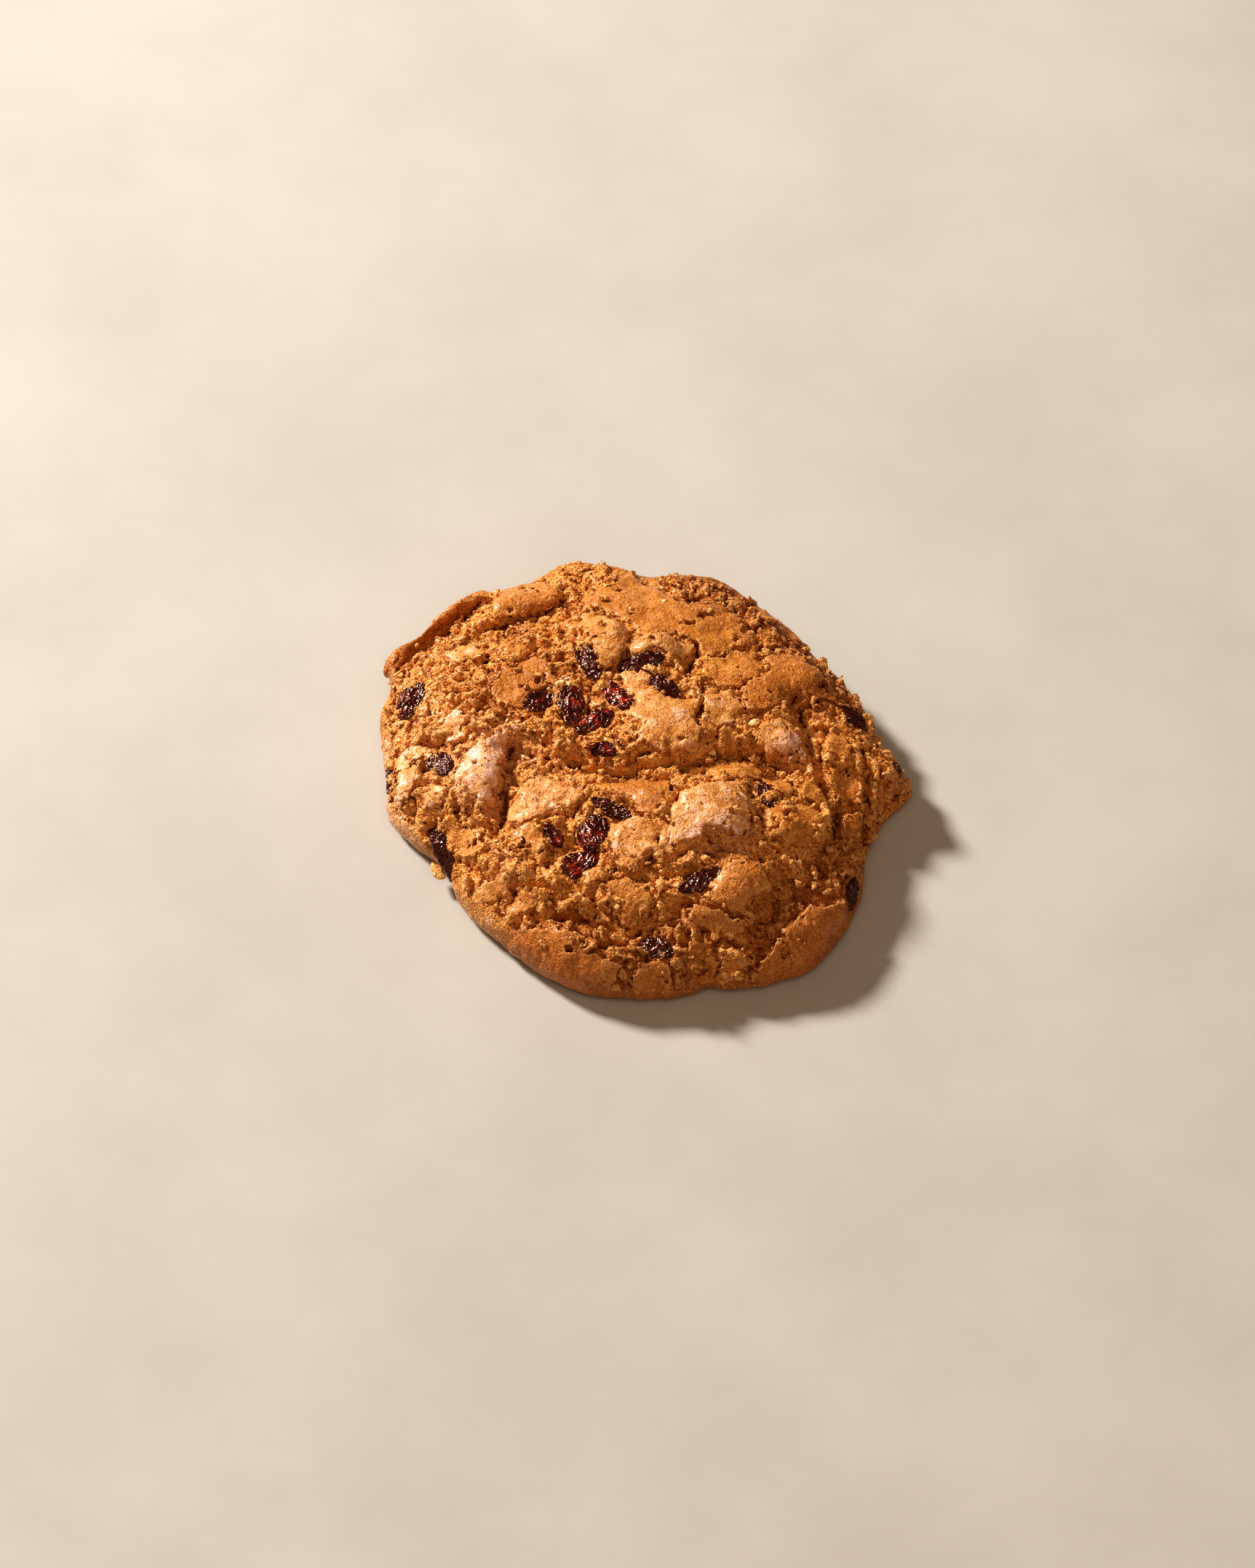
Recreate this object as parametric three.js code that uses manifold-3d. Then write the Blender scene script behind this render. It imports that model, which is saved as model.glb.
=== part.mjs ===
// A large oven-baked cookie with raisins, resting on its flat underside.
// The dough spread into an uneven oval, rose into a low dome and cracked as it set: mounds of
// dough stand between open fissures, and raisins sit half sunk in the top and the rim.
// Lengths are in millimetres and angles in degrees. +X is right, +Y is back, +Z is up, and a
// bearing is measured anticlockwise from +X. The outline is drawn about the dome's crown, and the
// finished cookie stands with the middle of its box on the origin, on the resting plane.
import * as THREE from "three";
import { mergeVertices } from "three/addons/utils/BufferGeometryUtils.js";
import Module from "manifold-3d";

// Driving dimensions
const MEAN_RADIUS = 51.6;
const CROWN_HEIGHT = 21; // the dome's top before its mounds
const RIM_HEIGHT = 10; // the dome's height where it meets the rounded rim
const WIDEST_LEVEL = 4; // height at which the cookie is widest
const UNDERCUT = 3; // how far the resting face stands in from the widest outline
const RAISIN_GAP = 0.3; // clearance between a raisin and its pocket

// Shape of the dome from the middle (0) to the outline (1)
const DOME_POWER = 0.9;
const RIM_SHARPNESS = 16;
const RIM_ROUNDING = 0.45;
const RELIEF_FADE = 10; // mounds and fissures fade out this sharply towards the outline

// Resolution
const DOME_RINGS = 24; // each ring outwards has six more points than the last
const RING_CROWDING = 1.35; // over 1 sets the rings closer together towards the rim
const EDGE_RINGS = 4;
const RAISIN_SIDES = 9;
const RAISIN_BANDS = 6;

const COLOURS = { baked: "#b4682c", raisin: "#2a1210" };

// The outline: an oval with the bulges, nicks and torn lips of its edge.
const OVAL = { rise: 4.15, bearing: 125.5 };
const EDGE_LOBES = [
  { name: "torn lip", bearing: 149, spread: 5, rise: 3.2 },
  { name: "west bulge", bearing: 163, spread: 6, rise: 1.4 },
  { name: "south-west bulge", bearing: 190, spread: 7, rise: 1.8 },
  { name: "raisin notch", bearing: 209, spread: 9, rise: -3 },
  { name: "front bulge", bearing: 257, spread: 15, rise: 2.3 },
  { name: "front nick", bearing: 285, spread: 4, rise: -1.8 },
  { name: "front corner", bearing: 306, spread: 9, rise: 2.2 },
  { name: "east flat", bearing: 338, spread: 12, rise: -4.4 },
  { name: "east snag", bearing: 358, spread: 5, rise: 5 },
  { name: "north-east flat", bearing: 38, spread: 8, rise: -1.2 },
  { name: "back bulge", bearing: 71, spread: 7, rise: 1.7 },
  { name: "back dent", bearing: 88, spread: 6, rise: -2.5 },
  { name: "back lump", bearing: 106, spread: 6, rise: 0.9 },
  { name: "back notch", bearing: 115.5, spread: 6, rise: -2.4 },
];

// Mounds and dips of the top: centre, half sizes along and across a bearing, and rise.
const MOUNDS = [
  { name: "front mound", at: [14, -20], long: 11, wide: 8, bearing: 60, rise: 3 },
  { name: "north-east mound", at: [28, 17], long: 9, wide: 7, bearing: 40, rise: 1.8 },
  { name: "left knob", at: [-6, 21.5], long: 5, wide: 4, bearing: 90, rise: 2.2 },
  { name: "right knob", at: [3.5, 20], long: 5, wide: 4, bearing: 70, rise: 1.8 },
  { name: "middle plateau", at: [5, 2], long: 10, wide: 7, bearing: 20, rise: 1.2 },
  { name: "west slab", at: [-32, -8], long: 10, wide: 6, bearing: 60, rise: 2 },
  { name: "north-west slab", at: [-27, 37], long: 9, wide: 5, bearing: 30, rise: 1.8 },
  { name: "back plateau", at: [8, 33], long: 16, wide: 9, bearing: 0, rise: 1.2 },
  { name: "south slab", at: [20, -37], long: 8, wide: 6, bearing: 45, rise: 1.8 },
  { name: "east slab", at: [31, -20], long: 8, wide: 6, bearing: 10, rise: 1.2 },
  { name: "south-west swell", at: [-24, -28], long: 11, wide: 7, bearing: 140, rise: 1.2 },
  { name: "raisin hollow", at: [-12, 8], long: 9, wide: 5, bearing: 160, rise: -1.6 },
  { name: "knob cleft", at: [-3, 15], long: 4, wide: 2, bearing: 60, rise: -2.5 },
  { name: "lower hollow", at: [-13, -25], long: 7, wide: 5, bearing: 110, rise: -1.4 },
];

// Fissures where the top tore open: half width, depth and the line that each one follows.
const FISSURES = [
  {
    name: "main fissure",
    width: 3,
    depth: 4.4,
    line: [[-24, -1], [-12, -9], [2, -10], [12, -8.5], [19, -4.5], [27, -7]],
  },
  { name: "west step", width: 2.4, depth: 3.2, line: [[-27, -2], [-25.5, -9], [-28, -18]] },
  {
    name: "north-west tear",
    width: 2.4,
    depth: 3,
    line: [[-31, 30], [-22, 33], [-14, 35], [-11, 40]],
  },
  {
    name: "lip groove",
    width: 2.4,
    depth: 3.4,
    line: [[-46, 24], [-42, 31], [-35, 38], [-29, 44]],
  },
  {
    name: "south-west groove",
    width: 2.2,
    depth: 2.6,
    line: [[-35, -20], [-34, -29], [-27, -36], [-18, -39], [-8, -43], [5, -46]],
  },
  {
    name: "south-east groove",
    width: 2.6,
    depth: 3,
    line: [[12, -46], [22, -44], [27, -40], [32, -34], [37, -29]],
  },
  { name: "east groove", width: 2.4, depth: 2.6, line: [[37, -26], [40, -16], [42, -6]] },
  { name: "inner east tear", width: 2, depth: 2, line: [[30, 11], [33, 3], [35, -8]] },
];

// Raisins: where each one lies, how far its middle stands above the top's surface (or, on the
// rim, its height), its size, the bearing of its long axis and how steeply that axis climbs.
const RAISINS = [
  { at: [-45.5, 14.5], above: -0.4, size: [9.5, 6, 4.6], bearing: 66, climb: 8 },
  { at: [-39.3, -4.2], above: -0.6, size: [8, 5.5, 4.4], bearing: 120, climb: -10 },
  { at: [-49.3, -1], height: 6, size: [8, 5, 4.2], bearing: 100, climb: 20 },
  { at: [-38.8, -21.8], height: 7, size: [10.5, 5.4, 4.6], bearing: 118, climb: 38 },
  { at: [-9.8, 17.8], above: -0.4, size: [9.5, 4.6, 4.2], bearing: 110, climb: 6 },
  { at: [1, 16.8], above: 0, size: [9, 4.8, 4.2], bearing: 12, climb: 4 },
  { at: [5, 11.2], above: -0.2, size: [9, 4.4, 4], bearing: 141, climb: 4 },
  { at: [-20, 8.8], above: -0.2, size: [6.8, 4.8, 4.2], bearing: 20, climb: 0 },
  { at: [-13.6, 7.8], above: 0.2, size: [8.5, 5.2, 4.6], bearing: 95, climb: 5 },
  { at: [-8.8, 2.6], above: -0.2, size: [7.5, 4.8, 4.2], bearing: 30, climb: -5 },
  { at: [-4.2, 8.8], above: 0, size: [9, 5, 4.4], bearing: 128, climb: 0 },
  { at: [-6.6, -4.6], above: -0.8, size: [8.5, 4, 3.6], bearing: 10, climb: 0 },
  { at: [-5.4, -19], above: -0.5, size: [10, 3.8, 3.6], bearing: 146, climb: 0 },
  { at: [-17.2, -23.6], above: -0.5, size: [7.5, 3.8, 3.6], bearing: 125, climb: 0 },
  { at: [-9.2, -24.4], above: 0.2, size: [8.5, 6, 4.6], bearing: 75, climb: 0 },
  { at: [-11.5, -30.4], above: -0.4, size: [7.5, 5, 4], bearing: 25, climb: 0 },
  { at: [12.4, -35], above: -0.6, size: [10.5, 4, 3.8], bearing: 32, climb: 0 },
  { at: [3.6, -47.6], above: -0.6, size: [7, 5.4, 4.2], bearing: 150, climb: 0 },
  { at: [25.2, -14.4], above: -0.8, size: [8, 4.6, 4], bearing: 110, climb: 0 },
  { at: [42.6, 10.6], above: -0.4, size: [8.5, 5.2, 4.4], bearing: 145, climb: -6 },
  { at: [50.2, -1.6], height: 7.5, size: [7, 4.6, 4], bearing: 60, climb: 10 },
  { at: [42.6, -31.4], height: 7, size: [7.5, 4.8, 4.2], bearing: 70, climb: 25 },
];
const FURROW_DEPTH = 0.1; // share of a raisin's size lost in its lengthwise furrows

const radians = THREE.MathUtils.degToRad;
const smooth = (value, spread) => Math.exp(-((value / spread) ** 2));

function outlineRadius(angle) {
  let radius = MEAN_RADIUS + OVAL.rise * Math.cos(2 * (angle - radians(OVAL.bearing)));
  for (const lobe of EDGE_LOBES) {
    const turn = angle - radians(lobe.bearing);
    const away = Math.atan2(Math.sin(turn), Math.cos(turn)); // between half a turn either way
    radius += lobe.rise * smooth(away, radians(lobe.spread));
  }
  return radius;
}

function distanceToLine(x, y, line) {
  let nearest = Infinity;
  for (let i = 1; i < line.length; i += 1) {
    const [ax, ay] = line[i - 1];
    const [bx, by] = line[i];
    const along = ((x - ax) * (bx - ax) + (y - ay) * (by - ay)) / ((bx - ax) ** 2 + (by - ay) ** 2);
    const t = THREE.MathUtils.clamp(along, 0, 1);
    nearest = Math.min(nearest, Math.hypot(x - ax - t * (bx - ax), y - ay - t * (by - ay)));
  }
  return nearest;
}

function relief(x, y) {
  let height = 0;
  for (const { at, long, wide, bearing, rise } of MOUNDS) {
    const turn = radians(bearing);
    const along = (x - at[0]) * Math.cos(turn) + (y - at[1]) * Math.sin(turn);
    const across = (y - at[1]) * Math.cos(turn) - (x - at[0]) * Math.sin(turn);
    height += rise * smooth(Math.hypot(along / long, across / wide), 1);
  }
  for (const { line, width, depth } of FISSURES) {
    height -= depth * smooth(distanceToLine(x, y, line), width);
  }
  return height;
}

// Height of the top at a point of the plan.
function topHeight(x, y) {
  const share = Math.min(1, Math.hypot(x, y) / outlineRadius(Math.atan2(y, x)));
  const dome = RIM_HEIGHT + (CROWN_HEIGHT - RIM_HEIGHT) * (1 - share ** 2) ** DOME_POWER;
  const raised = dome - WIDEST_LEVEL + relief(x, y) * (1 - share ** RELIEF_FADE);
  return WIDEST_LEVEL + raised * (1 - share ** RIM_SHARPNESS) ** RIM_ROUNDING;
}

// The point of the outline at a turn from 0 to 1, drawn in towards the middle by a share.
function planPoint(turn, share) {
  const angle = turn * 2 * Math.PI;
  const radius = share * outlineRadius(angle);
  return [radius * Math.cos(angle), radius * Math.sin(angle)];
}

// The top as rings of 6, 12, 18 ... points round the middle, each ring joined to the one inside.
function domeFaces(ringStart) {
  const faces = [];
  for (let ring = 1; ring <= DOME_RINGS; ring += 1) {
    for (let sixth = 0; sixth < 6; sixth += 1) {
      for (let step = 0; step < ring; step += 1) {
        const outer = (n) => ringStart(ring) + ((sixth * ring + n) % (6 * ring));
        const inner = (n) =>
          ring === 1 ? 0 : ringStart(ring - 1) + ((sixth * (ring - 1) + n) % (6 * (ring - 1)));
        faces.push(outer(step), outer(step + 1), inner(step));
        if (step < ring - 1) {
          faces.push(outer(step + 1), inner(step + 1), inner(step));
        }
      }
    }
  }
  return faces;
}

// One closed skin: over the dome from the middle, round the rim and back to the middle underneath.
function doughGeometry() {
  const positions = [0, 0, topHeight(0, 0)];
  for (let ring = 1; ring <= DOME_RINGS; ring += 1) {
    const share = 1 - (1 - ring / DOME_RINGS) ** RING_CROWDING;
    for (let n = 0; n < 6 * ring; n += 1) {
      const [x, y] = planPoint(n / (6 * ring), share);
      positions.push(x, y, topHeight(x, y));
    }
  }
  const sectors = 6 * DOME_RINGS;
  for (let i = 1; i <= EDGE_RINGS; i += 1) {
    const turn = ((i / EDGE_RINGS) * Math.PI) / 2;
    const share = 1 - (UNDERCUT / MEAN_RADIUS) * (1 - Math.cos(turn));
    for (let n = 0; n < sectors; n += 1) {
      const [x, y] = planPoint(n / sectors, share);
      positions.push(x, y, WIDEST_LEVEL * (1 - Math.sin(turn)));
    }
  }
  positions.push(0, 0, 0);

  const ringStart = (ring) => 1 + 3 * ring * (ring - 1);
  const faces = domeFaces(ringStart);
  const rim = ringStart(DOME_RINGS);
  const last = positions.length / 3 - 1;
  for (let n = 0; n < sectors; n += 1) {
    const next = (n + 1) % sectors;
    for (let i = 0; i < EDGE_RINGS; i += 1) {
      const above = rim + i * sectors;
      const below = above + sectors;
      faces.push(above + n, below + n, below + next);
      faces.push(above + n, below + next, above + next);
    }
    const resting = rim + EDGE_RINGS * sectors;
    faces.push(last, resting + next, resting + n);
  }
  return new THREE.BufferGeometry()
    .setAttribute("position", new THREE.Float32BufferAttribute(positions, 3))
    .setIndex(faces);
}

// A raisin: an uneven egg with furrows along it. `grow` makes the pocket that it sits in.
function raisinGeometry(raisin, number, grow) {
  const geometry = new THREE.SphereGeometry(1, RAISIN_SIDES, RAISIN_BANDS);
  geometry.deleteAttribute("normal").deleteAttribute("uv").rotateZ(-Math.PI / 2);
  const half = raisin.size.map((length) => length / 2 + grow);
  const point = new THREE.Vector3();
  const spots = geometry.getAttribute("position");
  for (let i = 0; i < spots.count; i += 1) {
    point.fromBufferAttribute(spots, i);
    const round = Math.atan2(point.z, point.y);
    const furrow = FURROW_DEPTH * Math.cos(3 * round + number) * (1 - point.x ** 2);
    const lean = 1 + 0.12 * point.x * Math.sin(2.4 * number); // one end is fuller than the other
    spots.setXYZ(
      i,
      point.x * half[0],
      point.y * half[1] * (lean - furrow),
      point.z * half[2] * (lean - furrow),
    );
  }
  return geometry;
}

function raisinPlace(raisin) {
  const [x, y] = raisin.at;
  const height = raisin.height ?? topHeight(x, y) + raisin.above;
  const turn = new THREE.Euler(0, -radians(raisin.climb), radians(raisin.bearing), "ZYX");
  return new THREE.Matrix4().makeRotationFromEuler(turn).setPosition(x, y, height);
}

// Boolean cuts
const wasm = await Module();
wasm.setup();

function solidOf(geometry) {
  const merged = mergeVertices(geometry);
  return new wasm.Manifold(
    new wasm.Mesh({
      numProp: 3,
      vertProperties: merged.getAttribute("position").array,
      triVerts: new Uint32Array(merged.index.array),
    }),
  );
}

function geometryOf(solid) {
  const { vertProperties, triVerts } = solid.getMesh();
  return new THREE.BufferGeometry()
    .setAttribute("position", new THREE.BufferAttribute(vertProperties, 3))
    .setIndex(new THREE.BufferAttribute(triVerts, 1));
}

function material(colour, roughness) {
  return new THREE.MeshStandardMaterial({ color: colour, roughness, metalness: 0 });
}

const cookie = new THREE.Group();
const baked = material(COLOURS.baked, 0.75);
const dried = material(COLOURS.raisin, 0.3);

let dough = solidOf(doughGeometry());
RAISINS.forEach((raisin, number) => {
  const place = raisinPlace(raisin);
  const pocket = raisinGeometry(raisin, number, RAISIN_GAP).applyMatrix4(place);
  dough = dough.subtract(solidOf(pocket));

  const mesh = new THREE.Mesh(raisinGeometry(raisin, number, 0), dried);
  mesh.name = `raisin_${String(number + 1).padStart(2, "0")}`;
  mesh.applyMatrix4(place);
  cookie.add(mesh);
});

const body = new THREE.Mesh(geometryOf(dough), baked);
body.name = "dough";
cookie.add(body);

// The bulges of the edge aren't even all round, so the whole is set with its middle on the origin.
const middle = new THREE.Box3().setFromObject(cookie, true).getCenter(new THREE.Vector3());
cookie.position.set(-middle.x, -middle.y, 0);

export default cookie;
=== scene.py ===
# A large crackle-top raisin cookie: open crumb under torn plates of crust, with raisins baked in.
# The dough and the crust are worked as distance fields, in millimetres, on a lattice of cells, and
# meshed from them. Bearings are measured anticlockwise from +X, and heights from the resting plane.
import itertools
import math
from concurrent.futures import ThreadPoolExecutor

import bmesh
import bpy
import numpy as np
import openvdb
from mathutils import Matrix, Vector


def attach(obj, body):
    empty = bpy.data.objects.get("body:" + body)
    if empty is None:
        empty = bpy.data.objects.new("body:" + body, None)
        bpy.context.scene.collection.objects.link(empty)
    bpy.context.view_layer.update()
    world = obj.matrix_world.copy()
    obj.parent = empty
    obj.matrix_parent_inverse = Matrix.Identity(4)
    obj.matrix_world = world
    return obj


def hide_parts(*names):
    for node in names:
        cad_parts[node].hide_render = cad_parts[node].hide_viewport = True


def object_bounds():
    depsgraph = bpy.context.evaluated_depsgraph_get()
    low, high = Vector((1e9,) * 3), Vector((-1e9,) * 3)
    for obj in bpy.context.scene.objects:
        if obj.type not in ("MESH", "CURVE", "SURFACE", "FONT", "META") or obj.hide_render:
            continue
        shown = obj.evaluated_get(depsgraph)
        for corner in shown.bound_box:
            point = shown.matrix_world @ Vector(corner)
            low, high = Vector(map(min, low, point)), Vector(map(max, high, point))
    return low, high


MM = 0.001

# The lattices
DOUGH_CELL = 0.35
FINE_CELL = 0.24
PLAN_STEP = 0.2
MARGIN = 2.0  # room left round the cookie
REACH = 4.0  # how far from the surface distances are worked out

# The crumb: size and depth of its clumps, the same for the fine grain on them
CLUMPS = [(3.0, 1.45), (1.5, 0.85)]
GRAIN = [(0.85, 0.75, 35)]
CRUMB_THICKNESS = 2.3  # of the layer of crumb that lies on the dough
DEEPEST_CRUMB = 2.5  # below the surface that the crust keeps to
PORES = [(2.1, 37, -0.5, 0.95), (1.2, 38, -0.3, 0.48)]  # spacing, seed, least and most radius
OVERLAP = 0.15  # of its pieces where they meet

# The crust
CRUST_THICKNESS = 0.5
RAGGED = [(4.4, 1.0), (1.7, 0.55), (0.75, 0.34)]  # size and depth of the tears along its edges
TORN_OPENING = [(0.5, 1.5, 43), (0.3, 0.7, 44)]  # depth, size and seed of tears round a raisin

# The most triangles that a piece keeps
BODY_TRIANGLES = 120000
LAYER_TRIANGLES = 155000
RAISIN_TRIANGLES = 6000

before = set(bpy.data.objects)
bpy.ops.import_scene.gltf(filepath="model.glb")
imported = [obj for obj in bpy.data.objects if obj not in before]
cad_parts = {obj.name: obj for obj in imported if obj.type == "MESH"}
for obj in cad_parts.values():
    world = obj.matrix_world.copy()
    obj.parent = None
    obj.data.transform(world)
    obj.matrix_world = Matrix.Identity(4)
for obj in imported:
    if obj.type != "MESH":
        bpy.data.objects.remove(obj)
cad_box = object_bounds()


# ---------------------------------------------------------------- noise


def smoothstep(low, high, value):
    share = np.clip((value - low) / (high - low), 0, 1)
    return share * share * (3 - 2 * share)


WORKERS = ThreadPoolExecutor(4)
BLOCK = 60000


def in_blocks(work, points):
    """Runs work(block) over blocks of points side by side, and puts the results together."""
    blocks = [points[n:n + BLOCK] for n in range(0, len(points), BLOCK)]
    return np.concatenate(list(WORKERS.map(work, blocks)))


def lumps(points, size, seed):
    """Smooth noise from -1 to 1 with lumps about `size` across. Points may be flat or solid."""
    side = 64
    table = np.random.default_rng(seed).uniform(-1, 1, side ** 3).astype(np.float32)

    def work(block):
        scaled = block / np.float32(size)
        cell = np.floor(scaled)
        part = scaled - cell
        part = part * part * (3 - 2 * part)
        cell = cell.astype(np.int32)
        total = 0
        for corner in itertools.product((0, 1), repeat=block.shape[1]):
            place = 0
            weight = 1
            for k, step in enumerate(corner):
                place = place * side + ((cell[:, k] + step) & (side - 1))
                weight = weight * (part[:, k] if step else 1 - part[:, k])
            total = total + weight * table[place]
        return total

    return in_blocks(work, points.astype(np.float32))


def waves(points, *layers, start=0):
    """Smooth noise in layers, each a depth, the size of its lumps and a seed."""
    return sum((depth * lumps(points, size, seed) for depth, size, seed in layers), start)


def pebbles(points, size, seed, small, large, keep=None):
    """Distance to the nearest of round pebbles scattered one to a cell, negative inside one.

    Their radii run from `small` to `large`, and keep(centres, radii) may change them.
    """
    low = np.floor(points.min(0) / size).astype(int) - 2
    count = np.ceil(points.max(0) / size).astype(int) + 3 - low
    rng = np.random.default_rng(seed)
    index = np.stack(np.meshgrid(*[np.arange(n) for n in count], indexing="ij"), -1)
    index = index.reshape(-1, len(count))
    centre = (index + low + 0.5 + rng.uniform(-0.4, 0.4, index.shape)) * size
    centre = centre.astype(np.float32)
    radius = rng.uniform(small, large, len(index)).astype(np.float32)
    if keep is not None:
        radius = keep(centre, radius)

    def work(block):
        here = np.floor(block / np.float32(size) - 0.5).astype(np.int32) - low.astype(np.int32)
        nearest = np.full(len(block), 9.0, np.float32)
        for corner in itertools.product((0, 1), repeat=len(count)):
            place = 0
            for k, step in enumerate(corner):
                place = place * int(count[k]) + here[:, k] + step
            away = block - centre[place]
            nearest = np.minimum(nearest, np.sqrt((away * away).sum(1)) - radius[place])
        return nearest

    return in_blocks(work, points.astype(np.float32))


def turned(points, bearing):
    """How far points lie along and across a bearing on the plan."""
    x, y = points[:, 0], points[:, 1]
    turn = math.radians(bearing)
    return x * math.cos(turn) + y * math.sin(turn), y * math.cos(turn) - x * math.sin(turn)


def joined(a, b, fillet):
    """The union of two distance fields, with a fillet where they meet."""
    overlap = np.clip(fillet - np.abs(a - b), 0, None) / fillet
    return np.minimum(a, b) - overlap * overlap * fillet / 4


# ---------------------------------------------------------------- meshes and lattices


def read(items, name, width, kind=np.float32):
    """One property of all of a mesh's items, `width` numbers to an item."""
    values = np.zeros(len(items) * width, kind)
    items.foreach_get(name, values)
    return values.reshape(-1, width)


def vertex_places(data):
    return read(data.vertices, "co", 3) / MM


def new_object(name, data):
    obj = bpy.data.objects.new(name, data)
    bpy.context.scene.collection.objects.link(obj)
    return obj


class Lattice:
    """A block of cubic cells round the cookie."""

    def __init__(self, cell):
        low = np.array(cad_box[0]) / MM - MARGIN
        high = np.array(cad_box[1]) / MM + MARGIN
        self.cell = cell
        self.start = np.floor(low / cell).astype(int)
        self.shape = tuple(np.ceil(high / cell).astype(int) - self.start + 1)

    def grid(self):
        """The placing of a grid of distances on this lattice, and its first cell."""
        return openvdb.createLinearTransform(voxelSize=self.cell), tuple(int(n) for n in self.start)

    def distance_to(self, solids, reach):
        """Signed distance to closed meshes given as (points, triangles)."""
        counts = np.cumsum([0] + [len(points) for points, _ in solids])
        transform, start = self.grid()
        level = openvdb.FloatGrid.createLevelSetFromPolygons(
            np.concatenate([points for points, _ in solids]).astype(np.float32),
            triangles=np.concatenate(
                [faces + count for (_, faces), count in zip(solids, counts)]
            ).astype(np.uint32),
            transform=transform,
            halfWidth=reach / self.cell,
        )
        distance = np.zeros(self.shape, np.float32)
        level.copyToArray(distance, ijk=start)
        return distance

    def blur(self, field, radius):
        """Softens a field over about `radius`."""
        half = int(math.ceil(2 * radius / self.cell))
        steps = np.arange(-half, half + 1)
        weights = np.exp(-((steps * self.cell / radius) ** 2)).astype(np.float32)
        weights /= weights.sum()
        for axis in range(3):
            border = [(half, half) if k == axis else (0, 0) for k in range(3)]
            padded = np.pad(field, border, "edge")
            field = np.zeros(self.shape, np.float32)
            for n, weight in enumerate(weights):
                cut = [slice(None)] * 3
                cut[axis] = slice(n, n + self.shape[axis])
                field += weight * padded[tuple(cut)]
        return field

    def places(self, mask):
        """The middles of a mask's cells."""
        index = np.argwhere(mask)
        return ((index + self.start) * self.cell).astype(np.float32)

    def sample(self, field, points):
        """The field's value at points, between the cells."""
        scaled = np.clip(points / self.cell - self.start, 0, np.array(self.shape) - 1.001)
        cell = np.floor(scaled).astype(int)
        part = (scaled - cell).astype(np.float32)
        flat = field.ravel()
        place = (cell[:, 0] * self.shape[1] + cell[:, 1]) * self.shape[2] + cell[:, 2]
        total = np.zeros(len(points), np.float32)
        for corner in itertools.product((0, 1), repeat=3):
            weight = 1
            for k, step in enumerate(corner):
                weight = weight * (part[:, k] if step else 1 - part[:, k])
            ahead = (corner[0] * self.shape[1] + corner[1]) * self.shape[2] + corner[2]
            total += weight * flat[place + ahead]
        return total

    def refined(self, field, coarse):
        """A coarser lattice's field carried over to this one."""
        axes = [(np.arange(n) + s) * self.cell for n, s in zip(self.shape, self.start)]
        for axis, places in enumerate(axes):
            scaled = places / coarse.cell - coarse.start[axis]
            scaled = np.clip(scaled, 0, coarse.shape[axis] - 1.001)
            low = np.floor(scaled).astype(int)
            shape = [1, 1, 1]
            shape[axis] = -1
            part = (scaled - low).astype(np.float32).reshape(shape)
            field = np.take(field, low, axis) * (1 - part) + np.take(field, low + 1, axis) * part
        return field

    def skin(self, field, low=None):
        """The surface where a field is zero, as points in millimetres and faces.

        `low` is the first cell of a field that covers only a part of the lattice.
        """
        transform, start = self.grid()
        if low is not None:
            start = tuple(int(s + n) for s, n in zip(start, low))
        grid = openvdb.FloatGrid(float(field.max()))
        grid.transform = transform
        grid.copyFromArray(np.ascontiguousarray(field, np.float32), ijk=start)
        return grid.convertToPolygons(isovalue=0, adaptivity=0)


def node_mesh(name):
    """A solid's points in millimetres and its triangles."""
    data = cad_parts[name].data
    data.calc_loop_triangles()
    return vertex_places(data), read(data.loop_triangles, "vertices", 3, np.int32)


# ---------------------------------------------------------------- raisins

RAISIN_NODES = sorted(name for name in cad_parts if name.startswith("raisin"))

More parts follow.
